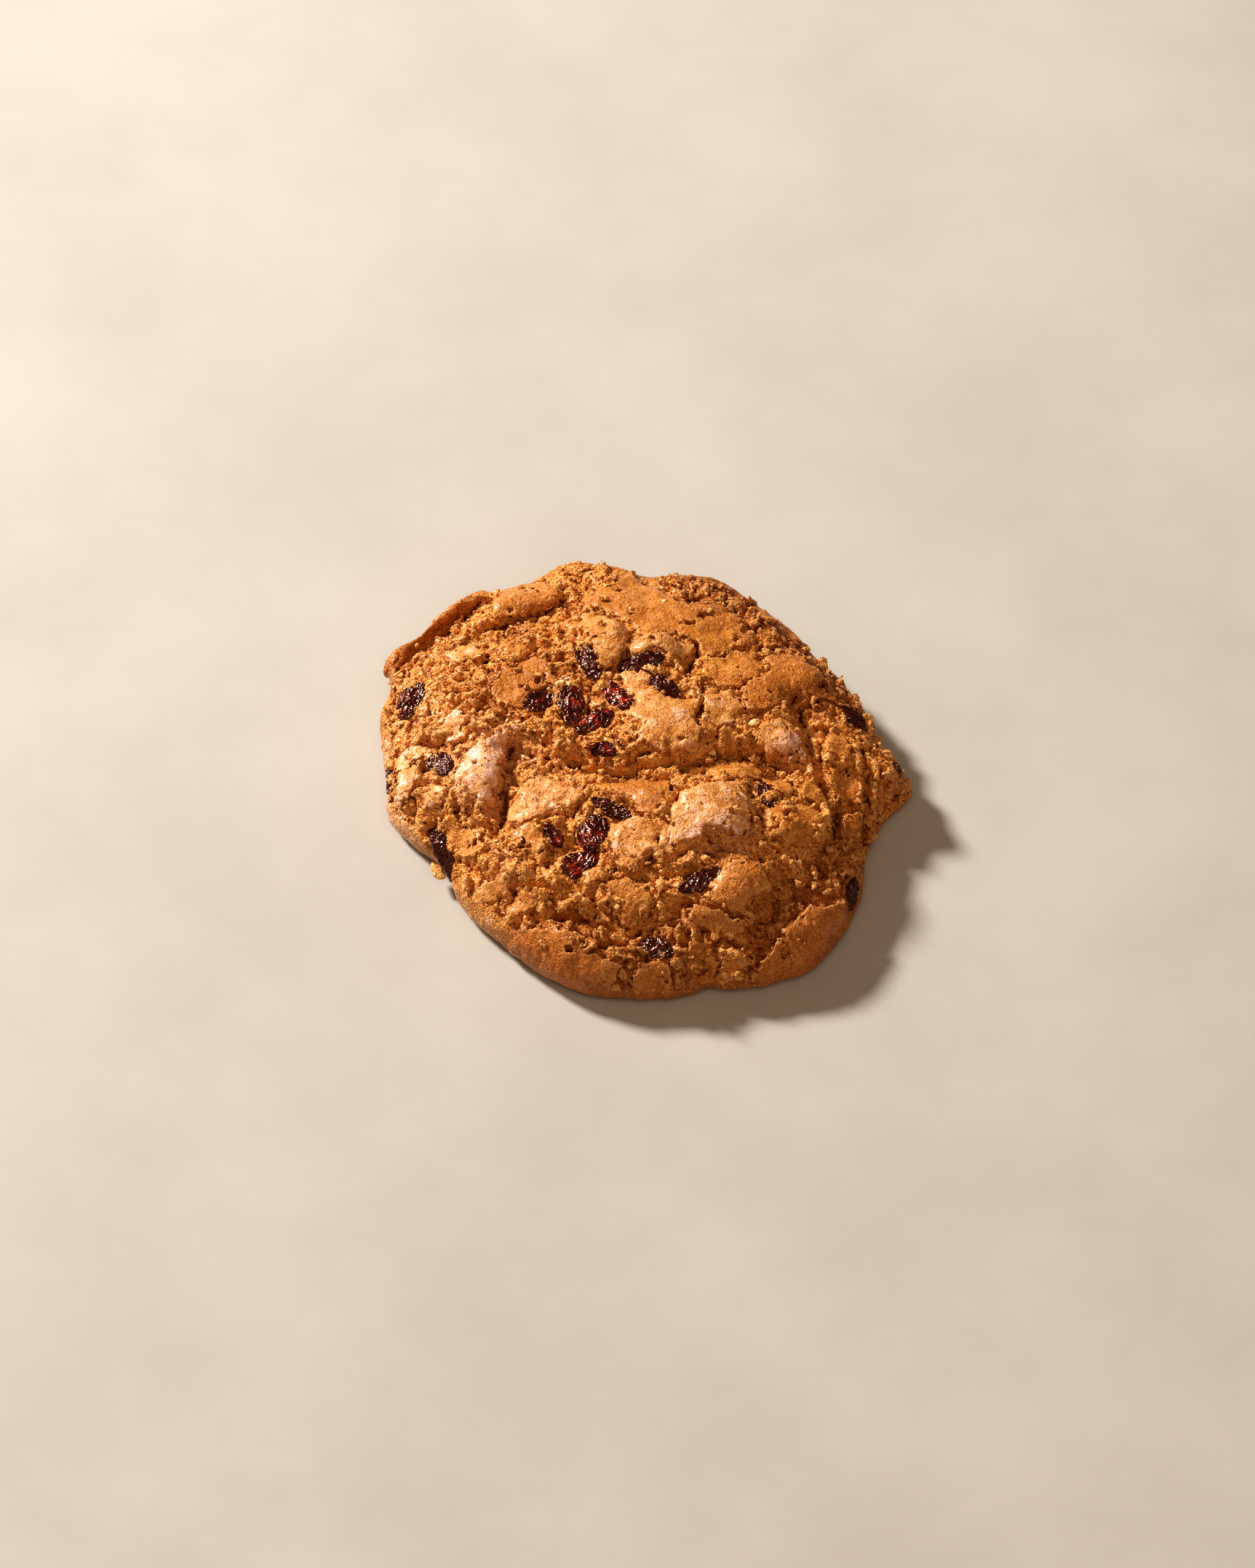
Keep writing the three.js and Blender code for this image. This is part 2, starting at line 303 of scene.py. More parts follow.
# Where the dough is open over each raisin: from the raisin's middle to the opening's, in x, y
# and z, then its length, width, depth and bearing. The rest of the raisin is baked in.
OPENINGS = {
    "raisin_01": [(-0.4, -0.4, 2.2, 9.4, 6, 5.6, 66)],
    "raisin_02": [(0.8, -0.4, 2, 6.6, 5.6, 5, 100)],
    "raisin_03": [(-1.6, -3.4, -0.6, 3, 2.8, 3.4, 90)],
    "raisin_04": [(-2.2, -1.2, -0.4, 11.6, 7, 9, 118)],
    "raisin_05": [(0.2, -0.2, 1.8, 9, 4, 4.6, 112)],
    "raisin_06": [(-1.2, -0.3, 1.8, 5.8, 4, 4.4, 20), (3.1, 0.6, 1.8, 3, 2.8, 4.4, 100)],
    "raisin_07": [(0, 0, 1.8, 9.4, 4, 4.4, 138)],
    "raisin_08": [(0.8, 0.2, 1.8, 6.2, 4.8, 4.4, 20)],
    "raisin_09": [(0.4, -0.6, 2, 9.6, 7.4, 5, 100)],
    "raisin_10": [(-0.8, 0.9, 1.8, 9.4, 6.6, 4.8, 45)],
    "raisin_11": [(-0.2, 0, 1.8, 9, 5, 4.6, 122)],
    "raisin_12": [(-2.4, 0, 1.6, 3.6, 2.2, 3.8, 0), (2.4, 0.8, 1.6, 3.4, 2.1, 3.8, 25)],
    "raisin_13": [(0, 0, 1.6, 9.8, 3.1, 4.4, 146)],
    "raisin_14": [(0, 0.4, 1.6, 7, 3, 4.4, 125)],
    "raisin_15": [(0, -0.3, 2, 10.4, 7.4, 5.4, 75)],
    "raisin_16": [(0.4, 0.6, 1.6, 9, 7, 4.8, 35)],
    "raisin_17": [(-0.4, -0.4, 1.6, 10.2, 3.4, 4.8, 32)],
    "raisin_18": [(0, 0, 1.8, 6.8, 5.4, 4.8, 150)],
    "raisin_19": [(-1.1, 0.6, 1.8, 5.8, 2.2, 4.4, 105), (1.6, -3, 1.6, 2.2, 1.6, 3.4, 60)],
    "raisin_20": [(0.8, -0.6, 1.6, 6.6, 5, 5.4, 130)],
    "raisin_21": [(-1.4, 0.4, 1.6, 2.8, 2, 3.6, 70)],
    "raisin_22": [(1.3, 0.2, 0.4, 6.4, 4.6, 6, 80)],
}

# Raisins that have swollen: how much longer and wider they are than their solids
SWOLLEN = {
    "raisin_01": 1.08, "raisin_04": 1.12, "raisin_09": 1.2, "raisin_10": 1.25, "raisin_15": 1.15,
    "raisin_16": 1.2, "raisin_11": 1.05, "raisin_20": 1.08,
}


class Raisin:
    """A raisin's solid, read as an egg, and its openings."""

    def __init__(self, name):
        points, _ = node_mesh(name)
        self.name = name
        self.centre = (points.min(0) + points.max(0)) / 2
        _, _, self.axes = np.linalg.svd(points - points.mean(0), full_matrices=False)
        self.grown = SWOLLEN.get(name, 1)
        self.half = np.abs((points - self.centre) @ self.axes.T).max(0) * self.grown

    def distance(self, points):
        local = (points - self.centre) @ self.axes.T
        share = np.sqrt(((local / self.half) ** 2).sum(1))
        return (share - 1) * self.half.min()

    def opening(self, points):
        """Distance to the openings in the dough over it, negative inside."""
        nearest = np.full(len(points), REACH, np.float32)
        for x, y, z, long, wide, deep, bearing in OPENINGS[self.name]:
            away = points - self.centre - np.array((x, y, z))
            along, across = turned(away, bearing)
            share = np.sqrt(
                (along / (long / 2)) ** 2 + (across / (wide / 2)) ** 2
                + (away[:, 2] / (deep / 2)) ** 2
            )
            nearest = np.minimum(nearest, (share - 1) * min(long, wide, deep) / 2)
        return nearest


RAISINS = [Raisin(name) for name in RAISIN_NODES]


def raisin_fields(points):
    """Distance to the nearest raisin and to the nearest opening."""
    body = np.full(len(points), REACH, np.float32)
    hole = np.full(len(points), REACH, np.float32)
    for raisin in RAISINS:
        near = np.flatnonzero((np.abs(points - raisin.centre) < raisin.half.max() + REACH).all(1))
        body[near] = np.minimum(body[near], raisin.distance(points[near]))
        hole[near] = np.minimum(hole[near], raisin.opening(points[near]))
    return body, hole


# ---------------------------------------------------------------- plan of the top

# Plates of crust: how far each one stands above the dough's own surface, its tone from browned
# (-1) to pale (1), the palest painted with a pink sheen, and its outline
PLATES = [
    ("middle plateau", 0.1, 0.45, [(-4.6, 14.4), (-3, 15.6), (-0.5, 15.6), (0.2, 12), (1.4, 9.3),
     (5, 7.8), (9, 9.2), (10, 7), (9.5, 4), (8.2, 1), (9, -1), (11.5, -3.2), (10, -4.8), (6, -5.4),
     (0, -5.2), (-3.3, -4.3), (-1.4, -2.4), (-1, 1.4), (-3.4, 3), (-2, 6), (-4.2, 9)]),
    ("plateau's right", 0, 0.5, [(11.8, 12), (15, 10.7), (17.4, 11.9), (18.4, 10), (18.8, 7),
     (18.2, 4.5), (16.8, 2.4), (14.6, 0.6), (12, -1.5), (10, -1.4), (9.6, 1), (11, 4), (11, 8)]),
    ("north-east slab", 0.3, -0.6, [(21, 14.6), (23, 15.4), (24.4, 18), (24, 21), (26, 23),
     (28.5, 24.2), (31, 23), (33.6, 20), (36, 18), (38, 16), (38, 13.4), (35, 12.6), (31, 12),
     (29, 10.4), (27.4, 8.6), (24.4, 6.9), (22.4, 5.9), (20.4, 5.6), (19.6, 9), (19.2, 12.4)]),
    ("back plateau", 0.1, -0.15, [(-13, 38), (-10.5, 41), (-9, 45), (-5, 46.5), (0, 46), (1.5, 42),
     (4, 39), (6.5, 36.3), (10, 35.6), (14, 37), (16, 34), (18.5, 33), (20, 30.5), (21.5, 27),
     (22, 24.5), (18, 22.8), (13, 20.4), (10.8, 20.6), (9.8, 23), (7, 24.2), (3, 25.5), (0, 24.8),
     (-2.2, 25.6), (-3.5, 27.6), (-6, 29.2), (-9, 30.6), (-9.5, 33), (-12, 34)]),
    ("left knob", 0.2, 0.4, [(-12.5, 29.5), (-9.5, 30), (-6, 28.3), (-4.5, 26.5), (-3.8, 23),
     (-4, 20), (-5.5, 17.5), (-8, 16.3), (-10.3, 17.5), (-11.3, 20), (-12.3, 23), (-13, 26)]),
    ("right knob", 0.2, 0.5, [(-2, 24), (0, 24.8), (4, 24.6), (6.6, 23), (8.4, 20), (7.3, 15.8),
     (5.5, 16.4), (4.3, 18.2), (3, 19.5), (1.5, 20), (0, 18.6), (-3.4, 19), (-3.8, 20.6)]),
    ("behind the slit", 0, 0.1, [(10.8, 20), (13, 19.9), (18, 22.2), (22, 22.6), (22.5, 19),
     (22, 16), (20.5, 14.4), (18.5, 13.2), (15.5, 11.8), (12.5, 12.6), (11.4, 14.5), (10.6, 17)]),
    ("west of the raisins", -0.1, -0.55, [(-30, 16), (-28.5, 18.5), (-25, 20), (-21, 21),
     (-19.5, 17.5), (-17.5, 14), (-17, 12.5), (-20, 13), (-22.5, 11.5), (-23.5, 9), (-22, 7.5),
     (-26, 7.5), (-29.5, 9), (-31, 12)]),
    ("north-west chip", 0, 0.2, [(-29, 24.5), (-25, 25.5), (-22, 24), (-24.5, 21), (-26, 20),
     (-29.5, 20.5)]),
    ("north-west scale", 0.2, 0.5, [(-40, 26), (-37, 26.6), (-33, 26), (-32, 23.6), (-33.5, 20.6),
     (-36, 21), (-39, 21.6)]),
    ("north-west slab", 0.3, 0.1, [(-31, 32.4), (-27, 32.6), (-24, 33.6), (-22, 35.4), (-19, 37),
     (-18.5, 41), (-20, 45), (-24, 47), (-29, 46), (-32, 39)]),
    ("left ridge", 0.1, 0.4, [(-17, 29), (-14, 31), (-12.5, 36), (-11, 34.5), (-10, 31), (-12, 27),
     (-15.5, 26.5)]),
    ("west chip", 0.2, 0.7, [(-38, 8.6), (-37, 7.5), (-36.8, 5), (-36.5, 2.5), (-36.5, 0.6),
     (-38.5, 1.5), (-39.5, 4.5), (-39.8, 6.5)]),
    ("west slab", 0.5, 0.9, [(-33, -1.5), (-30.5, 1), (-28.2, 1.4), (-28.4, -2), (-29.4, -6),
     (-29.2, -9), (-30, -12), (-32, -14.5), (-34.5, -13.5), (-37, -12.8), (-39, -10.5),
     (-38.5, -8.5), (-36, -5.5), (-34, -3)]),
    ("west rim upper", 0.1, 0.6, [(-50, 1.4), (-47, 3), (-43.5, 1.8), (-43, -0.5), (-45.4, -2.4),
     (-48, -3), (-50.6, -2)]),
    ("west rim lower", 0.1, 0.7, [(-49.6, -4), (-46.4, -3.4), (-45, -5.6), (-46, -8), (-47, -10),
     (-49.4, -9)]),
    ("south-west chip", 0.2, 0.6, [(-44.5, -11.4), (-42, -9.2), (-40.2, -9.8), (-40.3, -12.5),
     (-41.5, -13.9), (-44, -13.3)]),
    ("south-west scale", 0.1, 0.2, [(-41, -17), (-38.5, -15.2), (-37, -17.5), (-33.5, -19),
     (-33, -22), (-31, -24.5), (-34, -25), (-38, -22.5), (-41, -20)]),
    ("below the step", 0, 0.5, [(-27.5, -14), (-25, -10.5), (-20, -9.8), (-15, -12), (-13, -15),
     (-14.5, -18.5), (-19, -18.6), (-24, -20.5), (-27, -19)]),
    ("south lip", 0.1, -0.1, [(-11.5, -13.4), (-8, -11.6), (-3, -12), (3, -11.8), (4.8, -13.2),
     (4, -17), (2.5, -20), (1, -21.8), (-1.2, -20.8), (-5, -17), (-9, -14.6)]),
    ("below the long raisin", 0, 0.5, [(-9, -20.6), (-6, -21.8), (-2, -22.3), (1, -22.8),
     (4, -22.5), (5, -24), (5.4, -29.4), (3, -30), (0, -29.5), (-1, -31), (-2, -33.5),
     (-5.5, -32.5), (-6.5, -29), (-8, -28), (-7, -24)]),
    ("front mound", 0.2, 0.6, [(5, -20), (7, -17), (10, -15.4), (14, -13.8), (17.5, -13.8),
     (20, -16.4), (20.4, -21), (20, -24), (18.5, -27), (15, -25.6), (11, -26.2), (8, -28),
     (5.6, -28.8), (4.6, -25)]),
    ("over the hidden raisin", 0.2, 0.1, [(22, -9.6), (25, -8.8), (28.4, -10), (29, -13),
     (26.6, -14.4), (24.4, -12.2)]),
    ("beside the mound", 0, 0.1, [(25.6, -15), (28, -16.6), (26.8, -21), (24.2, -23), (23.6, -20),
     (23.8, -17)]),
    ("east slab", 0.2, 0.0, [(29, -15.6), (33, -15.2), (36, -16), (35.6, -19), (35, -22),
     (33, -24.5), (30, -25.6), (27, -24.4), (24.6, -25.4), (24.6, -24), (26.6, -21.6),
     (28, -18.4)]),
    ("east chip", 0.1, -0.1, [(30.4, -10.4), (33, -9.6), (34.6, -12), (33.6, -14.2), (31, -13.4)]),
    ("east plateau", 0.1, 0.3, [(21, -2.4), (22.4, 0.6), (24.2, 3.6), (27, 5), (29.4, 5.6),
     (31, 3.4), (30.8, 0), (29, -2.6), (27, -3.6), (23.4, -3.8)]),
    ("thin tongue", 0, 0.1, [(13.4, -0.4), (16.8, 1.6), (19.8, -0.6), (18, -2), (14.5, -2.4)]),
    ("south lip right", 0.2, 0.2, [(12.4, -8.4), (13.8, -6), (17, -5), (20, -5), (22, -6.6),
     (21.6, -10), (18.4, -12.2), (14, -12.2), (12, -10.6)]),
    ("east rim upper", 0.1, -0.4, [(36, 5.5), (38, 7), (40.5, 5.5), (41, 0.5), (40.5, -2.5),
     (38.5, -3.5), (36.5, -2.5), (36, 1.5)]),
    ("east rim lower", 0.2, -0.4, [(36.5, -5.5), (40, -4.5), (42.5, -6), (42, -9.5), (40.5, -11.5),
     (37.5, -11), (36, -8.5)]),
    ("snag's flake", 0.5, -0.3, [(44.6, 0.4), (46.4, -0.6), (46.6, -5.6), (45.2, -5.4),
     (44.4, -2.4)]),
    ("east sliver", 0.1, -0.1, [(42, 5.4), (43.4, 4.6), (43.4, 0.4), (42, -0.6), (41.6, 2)]),
    ("east foot", 0.1, -0.5, [(38.4, -14.4), (41.4, -13), (41.6, -17), (40.4, -20.6), (38.4, -19)]),
    ("east foot lower", 0.1, -0.6, [(36.4, -21.4), (38, -21), (37.6, -25.4), (36, -28.6),
     (35, -26)]),
    ("south slab", 0.5, -0.5, [(12, -35), (13.5, -34), (15, -32.8), (19, -32.4), (22, -31.2),
     (23.6, -34.8), (22.5, -37), (21.3, -39), (21.3, -41.6), (18, -40.8), (15, -40.3),
     (12.6, -38.4), (11, -37.5), (12.8, -36.5)]),
    ("lower south slab", 0.3, -0.5, [(9, -39.6), (12, -39.6), (14.5, -41.1), (18, -41.7), (20, -43),
     (19.5, -44.8), (15.5, -45), (13.5, -46.5), (11.5, -47.5), (9.5, -49.5), (9, -47), (9.2, -45.2),
     (7.8, -44.5), (8.2, -41.5)]),
    ("front rim flake", 0.2, -0.2, [(13.5, -49.4), (16, -48.4), (19.5, -48.6), (20, -50.2),
     (17, -51.4)]),
    ("front centre", 0, 0, [(-8.5, -37.5), (-6.5, -35.5), (-3, -34.8), (0, -35.8), (1, -38),
     (0.5, -40), (-2, -42), (-5, -42), (-4.5, -39.5), (-7.5, -39)]),
    ("front sliver", 0.2, 0.3, [(1.6, -34.4), (3, -33.2), (3.9, -35), (2.6, -37.5), (1.6, -40)]),
    ("front left chip", 0.2, 0.3, [(-13, -32.5), (-10, -31.4), (-8.8, -34), (-10, -36.4),
     (-12.5, -35.6)]),
    ("front left scale", 0.1, 0.4, [(-33.5, -31), (-31, -30), (-28, -30.3), (-26, -32),
     (-27.5, -34), (-31, -34.5), (-33, -33)]),
    ("front left ledge", 0.1, 0.3, [(-27.6, -35.4), (-24, -34.4), (-20, -35.8), (-20.8, -37.8),
     (-25, -38), (-27.6, -37.5)]),
    ("left of the sunk raisins", 0, 0.2, [(-26.5, -22.5), (-24, -21), (-20.5, -21), (-20.8, -24),
     (-22, -26.5), (-25.5, -26)]),
    ("south-east shoulder", 0.1, -0.9, [(25.6, -43), (28, -41.2), (29.4, -38), (31.6, -37.2),
     (34, -37.2), (37, -36), (41, -34.6), (44, -38), (36, -50), (26, -54), (22, -50.6), (24, -48.6),
     (26, -45.6)]),
    ("front rim", 0.1, -0.95, [(-30, -42), (-27, -40.6), (-22.5, -42.2), (-17, -42.2), (-13.4, -46),
     (-9, -48.8), (-5.4, -51.6), (-8, -58), (-24, -54)]),
    ("front rim middle", 0.1, -0.8, [(-1.6, -50.4), (2, -49.8), (4.2, -51), (6, -56), (-4, -56)]),
    ("torn lip", 0.2, -0.4, [(-58, 26), (-51.6, 27.6), (-48.6, 31.6), (-45.2, 35.2), (-41, 39),
     (-37, 42.4), (-33, 46), (-32, 52), (-46, 52), (-60, 38)]),
]

# Plates that tip: the bearing of their high side and how far it stands above the low one
TIPPED = {
    "west slab": (20, 1.4),
    "north-west slab": (-60, 0.9),
    "left knob": (-90, 0.5),
    "west chip": (60, 0.6),
    "south slab": (120, 0.8),
    "lower south slab": (60, 0.6),
    "front mound": (150, 0.4),
    "south-east shoulder": (135, 0.8),
    "front rim": (70, 0.5),
    "east slab": (150, 0.5),
    "east plateau": (160, 0.4),
    "snag's flake": (0, 1.0),
    "west of the raisins": (-60, 0.4),
    "north-east slab": (-90, 0.4),
}

# Rounded knobs of dough: middle x and y, how far its middle lies below the surface, half sizes
# across and along, half height and bearing
KNOBS = [
    (-8.2, 23.4, 2.4, 4.6, 7.2, 4.4, 12),
    (1.8, 20.8, 2.8, 5.8, 4.4, 4.4, 10),
    (12, -21, 4.2, 8.2, 6.6, 4.8, -20),
    (30, 17.5, 3.4, 6.4, 5.6, 4.2, 30),
    (-37, 17, 3.0, 4.6, 4.6, 3.8, 0),
    (-30, 13, 2.6, 3.6, 4.2, 3.4, 30),
    (-47, -6, 2.6, 3.2, 6, 3.6, 10),
    (14, -45.5, 2.8, 4.6, 2.8, 3.2, 10),
    (33, -19, 3.4, 4, 5, 4, 0),
]

# The torn lip at the back left: a round ridge along the rim, and the furrow behind it. Each is a
# radius and the line of its middle
LIP = (1.7, [(-51.7, 29.4, 3.2), (-48.8, 32.2, 4.6), (-45.3, 35.4, 5.4), (-41.6, 38.8, 6.4),
             (-37.5, 42, 6.8), (-33.5, 44.3, 7)])
FURROW = (2.9, [(-47.4, 27, 7.2), (-45.4, 30.2, 5.6), (-42.8, 32.9, 5.4), (-39.9, 35.6, 5.8),
                (-36.5, 38.6, 6.8), (-33, 41, 9)])

CREVICE_FLOOR = 0.5  # half the width of the sharp cut along a crevice's middle

# Crevices between the plates: depth, width, and the line each one follows
CREVICES = [
    (2.4, 0.8, [(-15, -5.4), (-12, -7), (-8, -8), (-3, -8.5), (2, -8.1), (7, -7), (11, -5.6)]),
    (1.5, 0.6, [(11, -5.6), (14, -3.6), (18, -2.6), (24, -3.9), (27, -5.6), (31, -6)]),
    (0.8, 0.7, [(-27, -1), (-22, -1.8), (-16, -4), (-12, -5.2), (-6, -6.2), (0, -5.9)]),
    (1.5, 1.2, [(-27.2, -0.6), (-27.3, -4), (-27.6, -8)]),
    (1.3, 1.0, [(-28, -8), (-28.6, -13), (-29.4, -17), (-30, -21)]),
    (1.4, 1.0, [(-32, 31.6), (-27, 32.2), (-23, 34.6), (-20, 36.4), (-17, 38.2), (-15, 40.6)]),
    (0.4, 1.6, [(-46.8, 27), (-45, 30), (-42.4, 32.8), (-39.8, 35.4), (-36.5, 38.6), (-33, 41)]),
    (1.0, 0.8, [(-14.2, 24), (-13.4, 20), (-12.2, 16.6)]),
    (2.2, 0.8, [(-3.2, 24), (-4, 20.5), (-4.8, 18.2), (-5, 16.4)]),
    (1.8, 0.55, [(10, 22.6), (9.2, 19.4), (8, 15.8)]),
    (0.9, 0.5, [(11.6, 12.2), (10.6, 8), (10.1, 4), (8.8, 1.4), (8.6, -0.6)]),
    (0.8, 0.45, [(14.6, 11.2), (18, 12.6), (20.6, 14), (24, 15.2)]),
    (0.7, 0.4, [(18.8, 10), (19.4, 7), (18.4, 4.2)]),
    (1.2, 1.4, [(31.4, 9.6), (32.4, 5), (33, 0), (34.4, -5), (35, -11)]),
    (0.9, 0.8, [(35, 8), (35.4, 3), (35, -2), (36, -6)]),
    (1.1, 0.9, [(43.8, 5), (44, 0), (43.4, -4), (43, -9)]),
    (1.3, 1.3, [(36.4, -13), (37.2, -18), (37, -23), (35.6, -28)]),
    (1.0, 0.7, [(20.6, -15.6), (21.6, -20), (22.6, -24), (25.4, -26.6), (30, -27.4), (34, -27)]),
    (1.3, 1.3, [(5, -30.6), (9, -29), (13, -28.2), (19, -28.6), (25, -29.6), (31, -30.6)]),
    (1.0, 0.6, [(-3, -34.2), (1, -33.8), (5, -33), (9, -33.4)]),
    (1.0, 0.55, [(7, -38.6), (12, -38.8), (15, -40.8), (18, -41.3), (22, -43)]),
    (1.8, 2.2, [(25.6, -33), (25.2, -38), (23.4, -42), (22, -46.6)]),
    (1.1, 0.8, [(-23, -38.8), (-18, -40), (-13, -41), (-8, -42.4), (-3, -43.6), (1, -43)]),
    (0.9, 0.8, [(-14, -43.2), (-9, -45.4), (-4, -46.8), (-1, -47)]),
    (0.9, 0.8, [(-35, -27), (-31.6, -28.8), (-27, -32.8), (-22, -34), (-15, -36.6), (-10, -38.4)]),
    (1.0, 0.8, [(-47, 3.4), (-43, 2.8), (-39, 2.2)]),
    (0.8, 0.7, [(-40, 10), (-36, 8.6), (-32, 8.6), (-28, 7)]),
    (0.8, 0.6, [(-19.6, 27), (-17.8, 23), (-16.6, 19.4)]),
    (0.8, 0.7, [(-30, 27), (-27, 26.6), (-22, 25.6)]),
    (0.9, 0.7, [(8.6, 34.6), (11, 37.6), (16, 37.4), (19.6, 33.6), (23, 30)]),
    (0.8, 0.8, [(-8, 47.6), (-2, 47.4), (3, 43), (6, 39)]),
    (0.8, 0.6, [(5.6, -18.6), (8, -15), (12, -13.4), (16, -13)]),
    (0.9, 0.7, [(-42, -15.6), (-36, -14.8), (-32, -17.4), (-30.6, -22)]),
    (0.8, 0.6, [(-27, -20.6), (-22, -20), (-15.6, -19.6), (-12.4, -15.6)]),
]

# Hollows: middle x and y, radius and depth
HOLLOWS = [
    (-27.6, -4.4, 2.0, 1.3), (-27.2, -7.6, 1.7, 1.9), (-18, 39.8, 2.0, 2.0), (-16.2, 43, 1.6, 1.6),
    (-4.7, 17.2, 1.2, 2.4), (-41.4, 1.4, 1.3, 1.6), (-36, 8.6, 1.3, 1.6), (-32.4, 9.2, 1.2, 1.5),
    (-17, 21, 1.2, 1.8), (-43.6, -4.4, 1.6, 1.8), (-44.4, -8, 1.2, 1.2), (-32.4, 21.6, 1.9, 1.9),
    (-43, 27.6, 2.2, 1.2), (-32, 41, 1.3, 1.5), (-47, 6.6, 1.5, 1.3),
    (12.8, -28.4, 1.6, 2.0), (20.4, -28.8, 1.3, 1.7), (24, -43.6, 2.2, 1.6), (36.4, -21, 1.6, 1.6),
    (17.4, 37.6, 1.7, 1.7), (10, 38.6, 1.4, 1.4), (20, 34.8, 1.4, 1.4), (-22, 17.4, 1.0, 1.0),
    (33, 2.6, 1.5, 1.4), (43.4, 2.6, 1.2, 1.2), (-29, -17, 1.6, 1.6), (-20, -29.6, 1.3, 1.3),
    (-36, -25.6, 1.4, 1.2), (6.8, -41.6, 1.4, 1.4), (-5, -45.6, 1.4, 1.4), (29, -34, 1.8, 1.7),
    (26, -30.8, 1.4, 1.6), (-13.4, 14.4, 1, 1.2), (24.4, -7, 1.3, 1.4), (40, -12.6, 1.2, 1.2),
    (-22, -37.6, 1.2, 1.3), (31.6, -35.2, 1.5, 1.6), (0.5, -44.6, 1.3, 1.4), (-17.6, 1, 2.2, 1.2),
    (-30, -21, 1.2, 1.4), (9.6, -29, 1.3, 1.7), (-38.6, -27.4, 1.2, 1.2), (8, -12.6, 1.2, 1.2),
]

# Patches of darker or paler tone: middle x and y, radius and change of tone. They paint light and
# shade: the dark patch at the back right is painted shade where the top faces away from the key
# light, and the pale ones are painted light on stretches that the lamps leave darker.
TONE_PATCHES = [
    (15, 42, 9, -1.4), (34, 31, 8, -0.7), (28, -32, 7, 0.2), (-25, 29, 6, -0.8), (33, -2, 7, 0.9),
    (15, -30, 5, 1.1), (-20, 3, 6, 0.6), (-28, -27, 5, 0.2), (-6, -50, 12, -0.3),
    (-2, -17, 6, -0.4),
]

# The crust's pieces, by where a plate's middle lies
CRUST_PIECES = ["back", "middle", "front"]


def line_distance(points, line):
    """Distance to a line through the given places, on the plan or in space."""
    nearest = np.full(len(points), 1e9, np.float32)
    for a, b in zip(np.array(line[:-1], np.float32), np.array(line[1:], np.float32)):
        run = b - a
        share = np.clip(((points - a) @ run) / (run @ run), 0, 1)
        away = points - a - share[:, None] * run
        nearest = np.minimum(nearest, (away * away).sum(1))
    return np.sqrt(nearest)


def outline_distance(points, outline):
    """Signed distance on the plan to a closed outline, negative inside."""
    ends = np.array(outline, np.float32)
    inside = np.zeros(len(points), bool)
    for a, b in zip(ends, np.roll(ends, -1, 0)):
        spans = (a[1] > points[:, 1]) != (b[1] > points[:, 1])
        rise = (points[:, 1] - a[1]) / ((b - a)[1] or 1e-9)
        inside ^= spans & (points[:, 0] < a[0] + rise * (b - a)[0])
    return np.where(inside, -1, 1) * line_distance(points, outline + outline[:1])


def ragged(points, seed):
    """Points shifted on the plan, so that straight outlines read as torn edges."""
    moved = points.copy()
    for step, (size, depth) in enumerate(RAGGED):
        for axis in (0, 1):
            moved[:, axis] += depth * lumps(points, size, seed + 10 * step + axis)
    return moved


